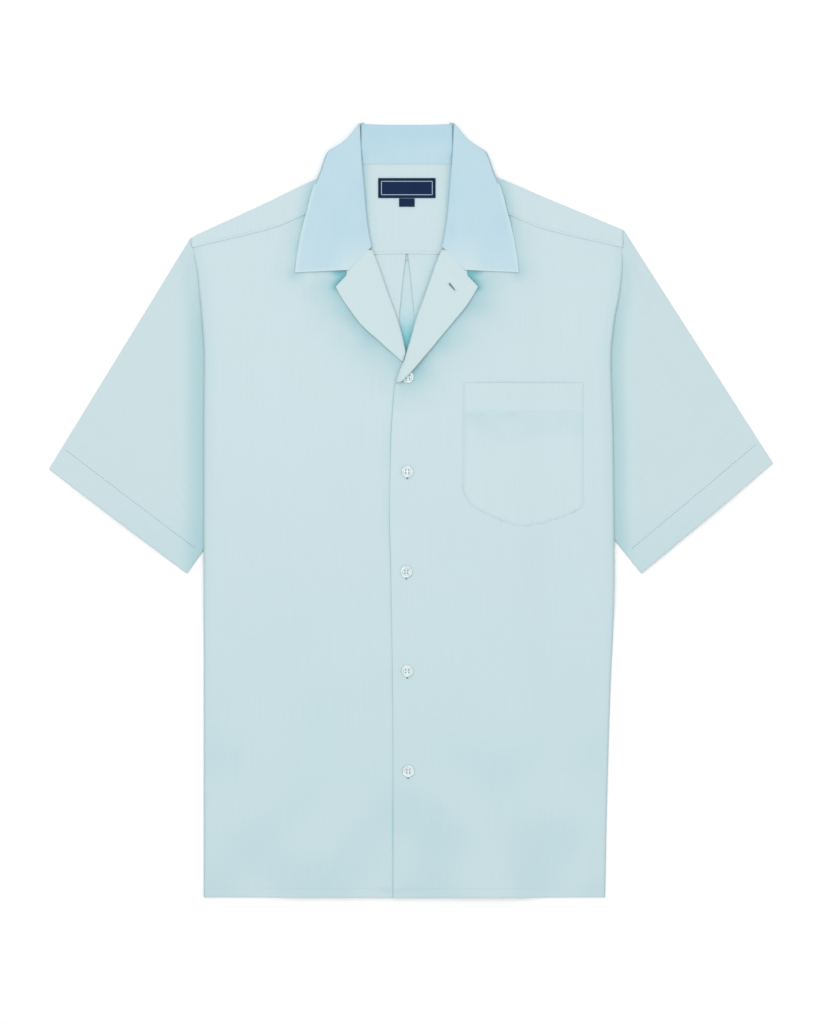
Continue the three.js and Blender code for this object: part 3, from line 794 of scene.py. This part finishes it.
@dataclass
class Lapel:
    """One lapel: the front's own cloth below and the facing that shows."""

    finishes: Finishes
    side: Side
    button: tuple[float, float] = (1.0, 535.0)
    button_loft: float = 2.8
    across: int = 22
    steps: int = 72
    gorge: float = 6.75
    rise: float = 1.5
    top: float = 10.0
    gorge_across: float = 4.0

    @property
    def table(self) -> Table:
        """Returns this side's rows, from the break up to the collar."""
        return LAPEL_ROWS[self.side]

    def level(self, x: float, y: float) -> float:
        """Returns the level of the lapel's under cloth."""
        away = math.hypot(x - self.button[0], y - self.button[1])
        loft = self.button_loft * smooth(45, 13, away) if self.side is Side.RIGHT else 0.0
        return FORM.front(self.side, x, y) + FORM.pitch + loft

    def row(self, key: float, extra: float) -> list[Vector]:
        """Returns a row from fold to free edge, extra above the lapel's under cloth."""
        first = self.table.rows[0][0]
        fold = self.table.place("fold", key)
        edge = self.table.place("edge", key)
        ahead = self.table.place("fold", min(self.top, key + 0.3))
        run = (ahead - self.table.place("fold", max(first, key - 0.3))).normalized()
        out = Vector((-run.y, run.x, 0))
        low = FORM.front(self.side, fold.x, fold.y) - extra
        high = self.level(fold.x, fold.y) + extra
        bend = Topology.fold(fold + out * extra, out, low, high, FORM.wall, 8)
        if extra:
            bend = bend[3:]
        start = bend[-1]
        sewn = smooth(9.2, self.top, key)
        reach = self.gorge_across * smooth(9.6, self.top, key) if extra else 0.0
        across = Vector((0.72, 0.69, 0)) * reach
        flat = []
        for share in spread(0, 1, self.across)[1:]:
            place = start.lerp(edge, share)
            level = self.level(place.x, place.y) + extra + 0.2 + self.stand_off(key, share)
            seam = sewn * smooth(0.78, 0.6, share)
            place += across * smooth(0.7, 0.6, share)
            place.z = level + (self.gorge - (0 if extra else 0.6) - level) * seam
            flat.append(place)
        return [*bend, *flat]

    def stand_off(self, key: float, share: float) -> float:
        """Returns how far the lapel stands off below its free edge."""
        wave = 0.5 * smooth(0.3, 1, share) * ripple(key / 1.6, share, self.side.value * 2.0)
        roll = 0.7 * math.sin(math.pi * share)
        return roll + wave + self.rise * smooth(0.15, 1, share) * smooth(1.5, 6, key)

    def layer(self, extra: float = 0.0) -> Rows:
        """Returns the under cloth's grid, or the facing's, extra above it, from the break up."""
        rows = [self.row(key, extra) for key in spread(self.table.rows[0][0], self.top, self.steps)]
        if extra:
            rows = Topology.turned(rows, "e", 0.45, 3.0)
        return Topology.mirrored(rows, self.side)

    def build(self) -> None:
        """Makes the facing that shows on the open lapel."""
        name = "facing_left" if self.side is Side.RIGHT else "facing_right"
        rows = self.layer(FORM.pitch)
        piece = cloth_piece(f"{name}_cloth", [rows], self.finishes.facing, grain=8.0 * self.side.value)
        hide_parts(name)


@dataclass
class Yoke:
    """The yoke: behind the neck, over both shoulders and down to the fronts."""

    finishes: Finishes

    def shoulder_row(self, side: Side, column: float) -> list[Vector]:
        """Returns one row of a shoulder, up the back, over the fold and down to the front seam."""
        low = FORM.yoke(column)
        high = FORM.strap(column)
        top = Vector((column, FORM.shoulder(side, column), 0))
        crown = Topology.fold(top, UP, low, high, FORM.wall, 8)
        foot = FORM.yoke_seam(column) + FORM.seam
        seam = FORM.front_top.at("y", column) - 0.7
        behind = [Vector((column, y, low)) for y in spread(foot, crown[0].y, 16)[:-1]]
        before = []
        for y in spread(crown[-1].y, seam, 18)[1:]:
            ridge = 0.85 * smooth(11, 5, y - seam)
            pucker = 0.25 * ripple(column / 6.0, 8.3, side.value) * smooth(16, 3, y - seam)
            before.append(Vector((column, y, high + ridge + pucker)))
        row = Topology.turn_under([*behind, *crown, *before], 0.3, 4.0)
        for point in row:
            point.x += (FORM.edge(side, point.y) - 222) * smooth(140, 222, column)
        return row

    def middle_rows(self) -> Rows:
        """Returns the grid behind the neck."""
        rows = []
        for x in spread(-68, 68, 42):
            foot = FORM.yoke_seam(x) - 0.8
            top = min(FORM.back_neck, FORM.shoulder(Side.LEFT, abs(x)) - 2 * smooth(48, 60, abs(x)))
            row = []
            for y in [foot, foot + 0.3, *spread(foot + 1, top, 24)]:
                ridge = 0.3 * smooth(9, 4, y - foot)
                row.append(Vector((x, y, FORM.yoke(x) + ridge + 0.04)))
            rows.append(row)
        return rows

    def build(self) -> None:
        """Makes the yoke."""
        grids = [self.middle_rows()]
        for side in Side:
            rows = [self.shoulder_row(side, column) for column in spread(62.3, 222, 56)]
            grids.append(Topology.mirrored(rows, side))
        piece = cloth_piece("yoke_cloth", grids, self.finishes.cloth, shade_map=PaintedShade.yoke)
        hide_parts("yoke")


@dataclass
class Sleeve:
    """A short sleeve: one flattened tube with a deep stitched hem."""

    finishes: Finishes
    side: Side
    gap: float = 0.7
    tuck: float = 15.0
    hem: float = 25.7
    band: float = 34.0
    band_share: float = 0.84
    down: int = 48

    @property
    def places(self) -> tuple[float, float, Vector, Vector]:
        """Returns the heights of the armhole's ends, and the hem's outer and lower corners."""
        if self.side is Side.RIGHT:
            return 686.0, 386.0, Vector((377, 447, 0)), Vector((241, 333, 0))
        return 677.0, 378.0, Vector((368.5, 441, 0)), Vector((226, 333, 0))

    def armhole(self, v: float) -> Vector:
        """Returns a place on the armhole in plan, a share of the way down it."""
        top, underarm, _, _ = self.places
        y = top + v * (underarm - top)
        return Vector((FORM.edge(self.side, y) + self.gap - self.tuck * smooth(562, 535, y), y, 0))

    def hem_distance(self, share: float) -> float:
        """Returns how far a cross line is from the hem."""
        if share < self.band_share:
            return self.band + 250 * (self.band_share - share)
        return self.band * (1 - share) / (1 - self.band_share)

    def beside_hem(self, distance: float, v: float) -> Vector:
        """Returns a place on a line that runs beside the hem, from its folded edge to the underarm."""
        _, _, outer, lower = self.places
        along = (lower - outer).normalized()
        inward = Vector((along.y, -along.x, 0))
        ends = []
        for corner, root in ((outer, self.armhole(0)), (lower, self.armhole(1))):
            run = root - corner
            ends.append(corner + run * (distance / run.dot(inward)))
        return ends[0].lerp(ends[1], v)

    def line(self, share: float) -> list[Vector]:
        """Returns the sleeve's cross line in plan, a share of the way from armhole to hem."""
        points = []
        for v in spread(0, 1, self.down):
            if share >= self.band_share:
                points.append(self.beside_hem(self.hem_distance(share), v))
            else:
                points.append(self.armhole(v).lerp(self.beside_hem(self.band, v), share / self.band_share))
        return points

    def loft(self, share: float, v: float, point: Vector) -> float:
        """Returns how far the sleeve's upper cloth stands off the lower one."""
        beside = point.x - FORM.edge(self.side, point.y)
        free = smooth(0, 26, beside)
        crown = 1.7 * math.sin(math.pi * min(1.0, max(0.0, v))) * free
        drape = 0.7 * ripple(point.x / 55, point.y / 40, 5.0 + self.side.value) * free
        fold = 2.6 * hump(point.x, point.y, (233, 640), (30, 5.5), -68) * smooth(0, 8, beside)
        fold += 1.5 * hump(point.x, point.y, (232, 470), (90, 8), -86) * smooth(2, 12, beside)
        fold += 1.2 * hump(point.x, point.y, (275, 520), (70, 11), -56)
        length = self.hem_distance(share)
        groove = -0.45 * bell(length - self.hem, 1.3)
        band = 0.35 * smooth(self.hem + 1.0, self.hem - 1.0, length)
        ends = smooth(0.0, 0.03, v) * smooth(1.0, 0.97, v)
        pucker = 0.2 * ripple(v * 30, 2.0, self.side.value) * bell(length - self.hem, 9)
        return max(0.0, crown + drape + fold) * ends + (band + groove + pucker) * ends

    def upper(self, share: float, line: Sequence[Vector], raised: float = 0.0) -> list[Vector]:
        """Returns a cross line's places on the upper cloth, between its folds."""
        level = FORM.floor + FORM.pitch
        places = []
        for number, point in enumerate(line[1:-1], start=1):
            loft = self.loft(share, number / (len(line) - 1), point)
            places.append(Vector((point.x, point.y, level + loft + raised)))
        return places

    def rows(self) -> Rows:
        """Returns the rings, down the upper cloth and back along the lower one."""
        low = FORM.floor
        high = FORM.floor + FORM.pitch
        shares = [*spread(0, self.band_share, 44), *spread(self.band_share, 1.0, 30)[1:]]
        rings = []
        for share in shares:
            line = self.line(share)
            run = (line[-1] - line[-2]).normalized()
            rise = (line[0] - line[1]).normalized()
            under = Topology.fold(line[-1], run, low, high, FORM.wall, 6)[::-1]
            over = Topology.fold(line[0], rise, low, high, FORM.wall, 6)
            upper = self.upper(share, line)
            lower = [Vector((point.x, point.y, low)) for point in line[-2:0:-1]]
            rings.append([*upper, *under, *lower, *over])
        tucked = []
        for point in rings[0]:
            inside = smooth(545, 575, point.y)
            level = 1.18 + (0.17 if point.z > FORM.pitch else -0.17)
            place = Vector((point.x - 0.2 - 3.2 * inside, point.y, point.z))
            place.z += (level - point.z) * inside
            tucked.append(place)
        return [tucked, *rings]

    def build(self) -> None:
        """Makes the sleeve and its hem's stitches."""
        name = "sleeve_left" if self.side is Side.RIGHT else "sleeve_right"
        top, _, outer, _ = self.places
        grain = math.degrees(math.atan2(outer.x - FORM.widest, top - outer.y)) * self.side.value
        rows = Topology.mirrored(self.rows(), self.side)
        cloth = self.finishes.sleeve
        piece = cloth_piece(f"{name}_cloth", [rows], cloth, grain=180 - grain, ring=True, shade_map=PaintedShade.sleeve)
        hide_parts(name)
        share = 1 - (1 - self.band_share) * self.hem / self.band
        stitched = Topology.mirrored([self.upper(share, self.line(share), 0.26)], self.side)[0]
        Sewing(self.finishes, radius=0.36).run(f"{name}_hem_stitches", stitched, dark=True)


@dataclass
class Collar:
    """The one-piece collar: stand, roll, both leaves and the fall behind the neck."""

    finishes: Finishes
    half: float = 47.0
    fall_edge: float = 746.0
    rise: float = 1.0
    top: float = 7.0
    table: Table = Table(
        ("row", "neck_x", "neck_y", "fold_x", "fold_y", "mid_x", "mid_y")
        + ("edge_x", "edge_y", "radius", "under"),
        (
            (0, 39.5, 670.5, 35.5, 668.5, 60, 645, 115, 642.5, 0.3, 4),
            (1, 48.3, 687, 39, 685, 63, 667, 110.6, 672, 0.4, 4),
            (2, 58, 708.5, 41.5, 705, 67, 694, 103.8, 702, 0.5, 4),
            (3, 61, 733, 43.5, 730, 69, 724, 95.5, 732, 1.4, 8),
            (4, 61.5, 751, 45.5, 752, 68, 747, 88.5, 748, 3.1, 42),
            (5, 60, 768, 46.6, 769, 63, 766, 83, 764.5, 3.1, 36),
            (6, 54, 780, 47.2, 782, 54, 780, 64, 778, 3.1, 17),
            (7, 50, 795, 47.6, 795.6, 48.4, 795.2, 49.4, 794.6, 3.1, 3),
        ),
    )

    def side_row(self, side: Side, key: float) -> list[Vector]:
        """Returns one row of a leaf, from the neck seam over the roll and round the outer edge."""
        place = self.table.place
        run = (place("fold", min(self.top, key + 0.2)) - place("fold", max(0.0, key - 0.2))).normalized()
        out = Vector((-run.y, run.x, 0))
        bend = Topology.fold(place("fold", key), out, FORM.stand, FORM.leaf, FORM.collar_wall, 8)
        neck, middle, edge = (place(kind, key) for kind in ("neck", "mid", "edge"))
        neck.z = FORM.stand
        edge.x += 0.9 * ripple(key * 1.9, 3.3, 0.4) * smooth(0, 0.6, key) * smooth(6, 4, key)
        start = bend[-1]
        soft = smooth(0, 1.5, key)
        inner = [start.lerp(middle, t) for t in spread(0, 1, 12)[1:]]
        outer = [middle.lerp(edge, t) for t in spread(0, 1, 24)[1:]]
        places = [*inner, *outer]
        rounded = []
        for number, place in enumerate(places):
            before = places[max(0, number - 5)]
            after = places[min(len(places) - 1, number + 5)]
            near_end = min(1.0, number / 5, (len(places) - 1 - number) / 5)
            rounded.append(place.lerp((before + after) / 2, 0.6 * soft * near_end))
        leaf = []
        calm = smooth(self.top, 5.6, key)
        for number, place in enumerate(rounded):
            share = (number + 1) / len(rounded)
            wave = 0.5 * ripple(key / 1.3, share * 2, 7.0) * calm * smooth(0.1, 0.5, share)
            rise = self.rise - (1.0 if side is Side.LEFT else 0.0)
            lift = rise * smooth(0.35, 1, share) * smooth(5.2, 3.2, key)
            sewn = smooth(0.6, 0, key) * smooth(0.36, 0.26, share)
            level = FORM.leaf + 0.9 * math.sin(math.pi * share) * calm + wave + lift
            leaf.append(Vector((place.x, place.y, level + (6.85 - level) * sewn)))
        row = Topology.turn_under([*bend, *leaf], self.table.at("radius", key), self.table.at("under", key))
        return [neck, *row]

    def back_rows(self) -> Rows:
        """Returns the grid behind the neck: up the stand, over the top fold and down the fall."""
        rows = []
        for x in spread(-self.half, self.half, 48):
            rise = smooth(18, self.half, abs(x))
            base = FORM.fall + FORM.collar_wall + FORM.seam
            level = base + rise * (FORM.stand - base)
            crown = Vector((x, FORM.length - 0.8 * (1 - (x / self.half) ** 2), 0))
            bend = Topology.fold(crown, UP, FORM.fall, level, FORM.collar_wall, 10)[::-1]
            first = FORM.back_neck + FORM.seam
            sewn = FORM.yoke(x) + 0.22
            stand = []
            heights = [first - 1.6, first - 1.35, *spread(first - 0.8, bend[0].y, 20)]
            for share, y in list(zip(spread(0, 1, 22), heights))[:-1]:
                height = level + 0.5 * math.sin(math.pi * share)
                stand.append(Vector((x, y, height + (sewn - height) * smooth(773, 757, y))))
            fall = [Vector((x, y, FORM.fall)) for y in spread(bend[-1].y, self.fall_edge, 14)[1:]]
            rows.append([*stand, *bend, *fall])
        return rows

    def build(self) -> None:
        """Makes the collar."""
        grids = [self.back_rows()]
        for side in Side:
            rows = [self.side_row(side, key) for key in [0.0, 0.03, 0.07, *spread(0.12, self.top, 90)]]
            grids.append(Topology.mirrored(rows, side))
        cloth = self.finishes.collar
        piece = cloth_piece("collar_cloth", grids, cloth, thick=0.7, shade_map=PaintedShade.collar)
        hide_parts("collar")


@dataclass
class Sewing:
    """Runs of stitches, each a small spindle of thread."""

    finishes: Finishes
    pitch: float = 3.0
    length: float = 2.3
    radius: float = 0.24

    def run(self, name: str, path: Sequence[Vector], dark: bool = False) -> Piece:
        """Sews along a path of places on the cloth, in dark thread where it is sunk and shaded."""
        mesh = bmesh.new()
        lengths = [0.0]
        for before, after in zip(path, path[1:]):
            lengths.append(lengths[-1] + (after - before).length)
        steps = int((lengths[-1] - self.pitch) / self.pitch)
        step = 0
        for number in range(max(1, steps)):
            at = self.pitch * (number + 0.5)
            while lengths[step + 1] < at:
                step += 1
            span = lengths[step + 1] - lengths[step]
            place = path[step].lerp(path[step + 1], (at - lengths[step]) / span)
            run = (path[step + 1] - path[step]).normalized()
            self.stitch(mesh, place, run, self.length)
        thread = self.finishes.dark_thread if dark else self.finishes.thread
        return finish_piece(name, mesh, thread)

    def stitch(self, mesh: Mesh, place: Vector, run: Vector, length: float) -> None:
        """Adds one stitch to a bmesh, along run."""
        turn = run.to_track_quat("X", "Z").to_matrix().to_4x4()
        size = Matrix.Diagonal((length / 2 * MM, self.radius * MM, self.radius * 0.8 * MM, 1))
        matrix = Matrix.Translation(metres(place)) @ turn @ size
        bmesh.ops.create_uvsphere(mesh, u_segments=6, v_segments=4, radius=1.0, matrix=matrix)


@dataclass
class Pocket:
    """The patch pocket on the wearer's left chest."""

    finishes: Finishes
    body: Body
    left: float = 58.0
    right: float = 181.0
    top: float = 529.0
    hem: float = 29.0
    foot_line: Table = Table(
        ("x", "y"),
        (
            (58, 418), (62, 409.5), (69, 402.5), (80, 396), (93, 390), (106, 385), (118, 382.5),
            (136, 384.5), (150, 388.5), (165, 393.5), (181, 402),
        ),
    )

    def foot(self, x: float) -> float:
        """Returns the height of the pocket's uneven rounded lower edge."""
        return self.foot_line.at("y", x)

    def level(self, x: float, y: float) -> float:
        """Returns the level of the pocket's cloth."""
        base = self.body.front_height(Side.RIGHT, x, y) + FORM.pitch - 0.5
        inside = min(x - self.left, self.right - x, y - self.foot(x))
        puff = 0.5 * smooth(0, 30, inside)
        groove = -0.45 * bell(self.top - y - self.hem, 1.8)
        pucker = 0.8 * ripple(x / 5.0, y / 30.0, 2.5) * smooth(16, 3, y - self.foot(x))
        hem = 0.7 * ripple(x / 11.0, 9.5, 2.5) * bell(self.top - y - self.hem, 7)
        sides = smooth(self.left, self.left + 30, x) * smooth(self.right, self.right - 20, x)
        sag = 0.4 * smooth(20, 2, self.top - y) * sides
        return base + puff + groove + pucker + hem + sag

    def rows(self) -> Rows:
        """Returns the pocket's grid, from its opening down, with its edges turned under."""
        rows = []
        for share in spread(0, 1, 76):
            row = []
            for x in spread(self.left, self.right, 64):
                y = self.top + share * (self.foot(x) - self.top)
                row.append(Vector((x, y, self.level(x, y))))
            rows.append(row)
        return Topology.turned(rows, "eblf", 0.3, 4.0)

    def outline(self, inset: float) -> list[Vector]:
        """Returns the line of the edge stitches, down one side, round the foot and up the other."""
        left, right = self.left + inset, self.right - inset
        points = [(left, y) for y in spread(self.top - 1, self.foot(left) + inset, 24)]
        points += [(x, self.foot(x) + inset) for x in spread(left, right, 48)[1:-1]]
        points += [(right, y) for y in spread(self.foot(right) + inset, self.top - 1, 24)]
        return [Vector((x, y, self.level(x, y) + 0.28)) for x, y in points]

    def build(self) -> None:
        """Makes the pocket and its stitches."""
        piece = cloth_piece("pocket_cloth", [self.rows()], self.finishes.cloth, shade_map=PaintedShade.pocket)
        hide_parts("pocket")
        sewing = Sewing(self.finishes)
        sewing.run("pocket_edge_stitches", self.outline(1.8))
        y = self.top - self.hem
        hem = [Vector((x, y, self.level(x, y) + 0.26)) for x in spread(self.left + 2, self.right - 2, 60)]
        sewing.run("pocket_hem_stitches", hem)


@dataclass
class Labels:
    """The bare woven neck label and the small bare tab below it."""

    finishes: Finishes
    label: Box = (-29.5, 29.5, 719.5, 740.0)
    tab: Box = (-8.0, 8.0, 710.5, 719.0)
    border: float = 3.0
    line: float = 0.7

    def level(self, x: float, y: float) -> float:
        """Returns the level of the label's cloth."""
        wave = 0.25 * ripple(x / 14.0, y / 10.0, 1.0)
        return FORM.yoke(x) + 1.0 + wave

    def patch(self, box: Box, across: int = 30, down: int = 14, raised: float = 0.0) -> Rows:
        """Returns the grid of a small woven patch."""
        x0, x1, y0, y1 = box
        return [
            [Vector((x, y, self.level(x, y) + raised)) for x in spread(x0, x1, across)]
            for y in spread(y1, y0, down)
        ]

    def border_rows(self) -> list[Rows]:
        """Returns the four bars of the woven border line."""
        x0, x1, y0, y1 = self.label
        x0, x1, y0, y1 = x0 + self.border, x1 - self.border, y0 + self.border, y1 - self.border
        bars = ((x0, x1, y1 - self.line, y1), (x0, x1, y0, y0 + self.line))
        bars += ((x0, x0 + self.line, y0, y1), (x1 - self.line, x1, y0, y1))
        return [self.patch(bar, 16, 8, 0.3)[::-1] for bar in bars]

    def build(self) -> None:
        """Makes the label, its border line and the tab."""
        finishes, slot = self.finishes, "label_cloth"
        label = cloth_piece("label_cloth", [self.patch(self.label)], finishes.label)
        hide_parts("label")
        border = cloth_piece("label_border", self.border_rows(), finishes.label_line, thick=0.15)
        tab = cloth_piece("size_tab_cloth", [self.patch(self.tab)], finishes.label)
        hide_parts("size_tab")


@dataclass
class Buttons:
    """The five shirt buttons, their thread and their buttonholes."""

    finishes: Finishes
    radius: float = 6.0
    height: float = 2.2
    dish: float = 3.6
    hole: float = 0.8
    hole_place: float = 1.5
    places: tuple[tuple[float, float], ...] = ((1, 535), (0.5, 438), (-0.5, 335), (0.5, 233), (1.5, 130))

    def plate(self, mesh: Mesh) -> None:
        """Adds the button's dished middle with its four holes."""
        edges = list(bmesh.ops.create_circle(mesh, segments=48, radius=self.dish)["verts"])
        for sx, sy in ((1, 1), (1, -1), (-1, 1), (-1, -1)):
            ring = bmesh.ops.create_circle(mesh, segments=14, radius=self.hole)["verts"]
            bmesh.ops.translate(mesh, verts=ring, vec=(sx * self.hole_place, sy * self.hole_place, 0))
            edges += ring
        loops = dict.fromkeys(edge for vert in edges for edge in vert.link_edges)
        filled = bmesh.ops.triangle_fill(mesh, edges=list(loops), use_beauty=True)
        faces = [item for item in filled["geom"] if isinstance(item, bmesh.types.BMFace)]
        grown = bmesh.ops.extrude_face_region(mesh, geom=faces, use_keep_orig=True)
        moved = [item for item in grown["geom"] if isinstance(item, bmesh.types.BMVert)]
        bmesh.ops.translate(mesh, verts=moved, vec=(0, 0, self.height - 0.9))

    def rim(self, mesh: Mesh) -> None:
        """Adds the button's rounded rim by spinning its section."""
        out, inner, top = self.radius, self.dish - 0.1, self.height
        section = [(inner, 0.0), (out - 0.7, 0.0), (out - 0.2, 0.25), (out, 0.8), (out, 1.4)]
        section += [(out - 0.25, 1.9), (out - 0.8, top), (out - 1.3, top - 0.1), (inner, top - 0.9)]
        verts = [mesh.verts.new((x, 0, z)) for x, z in section]
        edges = [mesh.edges.new((a, b)) for a, b in zip(verts, [*verts[1:], verts[0]])]
        turn = {"cent": (0, 0, 0), "axis": (0, 0, 1), "angle": math.tau, "steps": 48}
        bmesh.ops.spin(mesh, geom=[*verts, *edges], use_merge=True, **turn)

    def button(self, number: int, x: float, y: float) -> None:
        """Makes one button with the thread through its holes."""
        mesh = bmesh.new()
        self.plate(mesh)
        self.rim(mesh)
        bmesh.ops.recalc_face_normals(mesh, faces=mesh.faces)
        for face in mesh.faces:
            face.smooth = abs(face.normal.z) < 0.9
        base = FORM.left_front + FORM.wall / 2 + FORM.seam
        bmesh.ops.scale(mesh, vec=(MM, MM, MM), verts=mesh.verts)
        bmesh.ops.translate(mesh, vec=metres(Vector((x, y, base))), verts=mesh.verts)
        piece = finish_piece(f"button_{number}_pearl", mesh, self.finishes.pearl)
        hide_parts(f"button_{number}")
        thread = bmesh.new()
        sewing = Sewing(self.finishes, radius=0.35)
        level = base + self.height - 0.75
        length = 2 * self.hole_place + 0.8
        for offset in (-self.hole_place, self.hole_place):
            sewing.stitch(thread, Vector((x + offset, y, level)), UP, length)
        finish_piece(f"button_{number}_thread", thread, self.finishes.thread)

    def buttonhole(self, name: str, place: Vector, run: Vector, length: float) -> None:
        """Works a buttonhole: a dark slit between two rows of close stitches."""
        across = Vector((-run.y, run.x, 0))
        slit = [
            [place + run * a + across * b + Vector((0, 0, 0.02)) for b in spread(-0.35, 0.35, 4)]
            for a in spread(-length / 2, length / 2, 12)
        ]
        cloth_piece(f"{name}_slit", [slit], self.finishes.slit, thick=0.1)
        mesh = bmesh.new()
        sewing = Sewing(self.finishes, radius=0.3)
        for a in spread(-length / 2 - 0.4, length / 2 + 0.4, int(length / 0.5)):
            for edge in (-0.95, 0.95):
                sewing.stitch(mesh, place + run * a + across * edge, across, 1.3)
        finish_piece(f"{name}_stitches", mesh, self.finishes.thread)

    def build(self) -> None:
        """Makes the buttons and buttonholes."""
        top = FORM.left_front + 0.2 + 0.27
        for number, (x, y) in enumerate(self.places, start=1):
            self.button(number, x, y)
            if number > 1:
                place = Vector((x - 0.2, y - 1.6, top))
                self.buttonhole(f"buttonhole_{number}", place, UP, 12.4)
        lapel = Lapel(self.finishes, Side.RIGHT)
        middle = Vector((46.9, 627.0, 0))
        middle.z = lapel.level(middle.x, middle.y) + FORM.pitch + 0.2 + lapel.stand_off(8.6, 0.55) + 0.27
        run = Vector((7, -8, 0)).normalized()
        self.buttonhole("lapel_buttonhole", middle, run, 10.5)


@dataclass
class Seams:
    """The lines of stitching on the body."""

    finishes: Finishes
    body: Body
    hem: float = 9.5

    def build(self) -> None:
        """Sews the yoke seams, the inside back seam and the hem."""
        sewing = Sewing(self.finishes)
        for side in Side:
            places = [(x, FORM.front_top.at("y", x) + 1.6) for x in spread(64, 221, 60)]
            path = [Vector((side.value * x, y, FORM.strap(x) + 0.85 + 0.22)) for x, y in places]
            sewing.run(f"yoke_stitches_{side.name.lower()}", path)
        places = [(x, FORM.yoke_seam(x) + 2.0) for x in spread(-40, 40, 30)]
        sewing.run("back_yoke_stitches", [Vector((x, y, FORM.yoke(x) + 0.3 + 0.27)) for x, y in places])
        for side in Side:
            first = 18.0 if side is Side.LEFT else -14.0
            path = []
            for x in spread(first, FORM.edge(side, 0) - 2, 60):
                level = self.body.front_height(side, x, self.hem) + 0.2
                path.append(Vector((side.value * x, self.hem, level)))
            sewing.run(f"hem_stitches_{side.name.lower()}", path)


@dataclass
class Studio:
    """The pale floor, the soft lights and the camera above."""

    scale: float = 1.03
    photo_centre: tuple[float, float] = (409.5, 512.0)
    shirt_centre: tuple[float, float] = (411.0, 510.5)
    photo_height: float = 1024.0
    lens: float = 100.0
    floor_colour: tuple[float, float, float, float] = (0.985, 0.985, 0.985, 1.0)

    def floor(self) -> None:
        """Makes the plain pale floor."""
        mesh = bmesh.new()
        bmesh.ops.create_grid(mesh, x_segments=8, y_segments=8, size=4.0)
        bmesh.ops.translate(mesh, verts=mesh.verts, vec=(0, 0, -0.0002))
        paper, tree, shader = new_finish("studio_paper")
        feed(tree, shader, Base_Color=self.floor_colour, Roughness=1.0, Specular_IOR_Level=0.0)
        mesh_object("studio_floor", mesh, paper)

    def light(self, name: str, place: tuple[float, float, float], size: float, power: float) -> None:
        """Adds one soft light that points at the shirt."""
        data = bpy.data.lights.new(name, "AREA")
        data.shape = "DISK"
        data.size = size
        data.energy = power
        lamp = place_in_scene(name, data)
        lamp.location = place
        lamp.rotation_euler = (-Vector(place)).to_track_quat("-Z", "Y").to_euler()

    def camera(self) -> None:
        """Makes the camera that looks straight down, framed as the photograph is."""
        data = bpy.data.cameras.new("camera")
        data.lens = self.lens
        data.sensor_width = 36.0
        data.clip_end = 50.0
        span = self.photo_height * self.scale * MM
        distance = span * self.lens / data.sensor_width
        x = (self.photo_centre[0] - self.shirt_centre[0]) * self.scale * MM
        y = (self.shirt_centre[1] - self.photo_centre[1]) * self.scale * MM
        view = place_in_scene("camera", data)
        view.location = (x, y, distance)
        bpy.context.scene.camera = view

    def build(self) -> None:
        """Makes the studio."""
        self.floor()
        self.light("overhead", (-0.6, 0.75, 2.8), 2.8, 34.5)
        self.light("fill", (1.2, -0.9, 2.7), 2.6, 14.6)
        world = bpy.data.worlds.new("studio")
        world.use_nodes = True
        feed(world.node_tree, world.node_tree.nodes["Background"], Color=(1, 1, 1, 1), Strength=0.64)
        bpy.context.scene.world = world
        bpy.context.scene.view_settings.view_transform = "Standard"
        self.camera()


def main() -> None:
    """Builds the shirt, sub-assembly by sub-assembly, and then the studio."""
    logging.basicConfig(level=logging.INFO, format="%(name)s: %(message)s")
    finishes = Finishes()
    body = Body(finishes)
    body.build()
    Yoke(finishes).build()
    for side in Side:
        Sleeve(finishes, side).build()
        Lapel(finishes, side).build()
    Collar(finishes).build()
    Pocket(finishes, body).build()
    Labels(finishes).build()
    Buttons(finishes).build()
    Seams(finishes, body).build()
    Studio().build()
    bpy.context.view_layer.update()


if __name__ == "__main__":
    main()
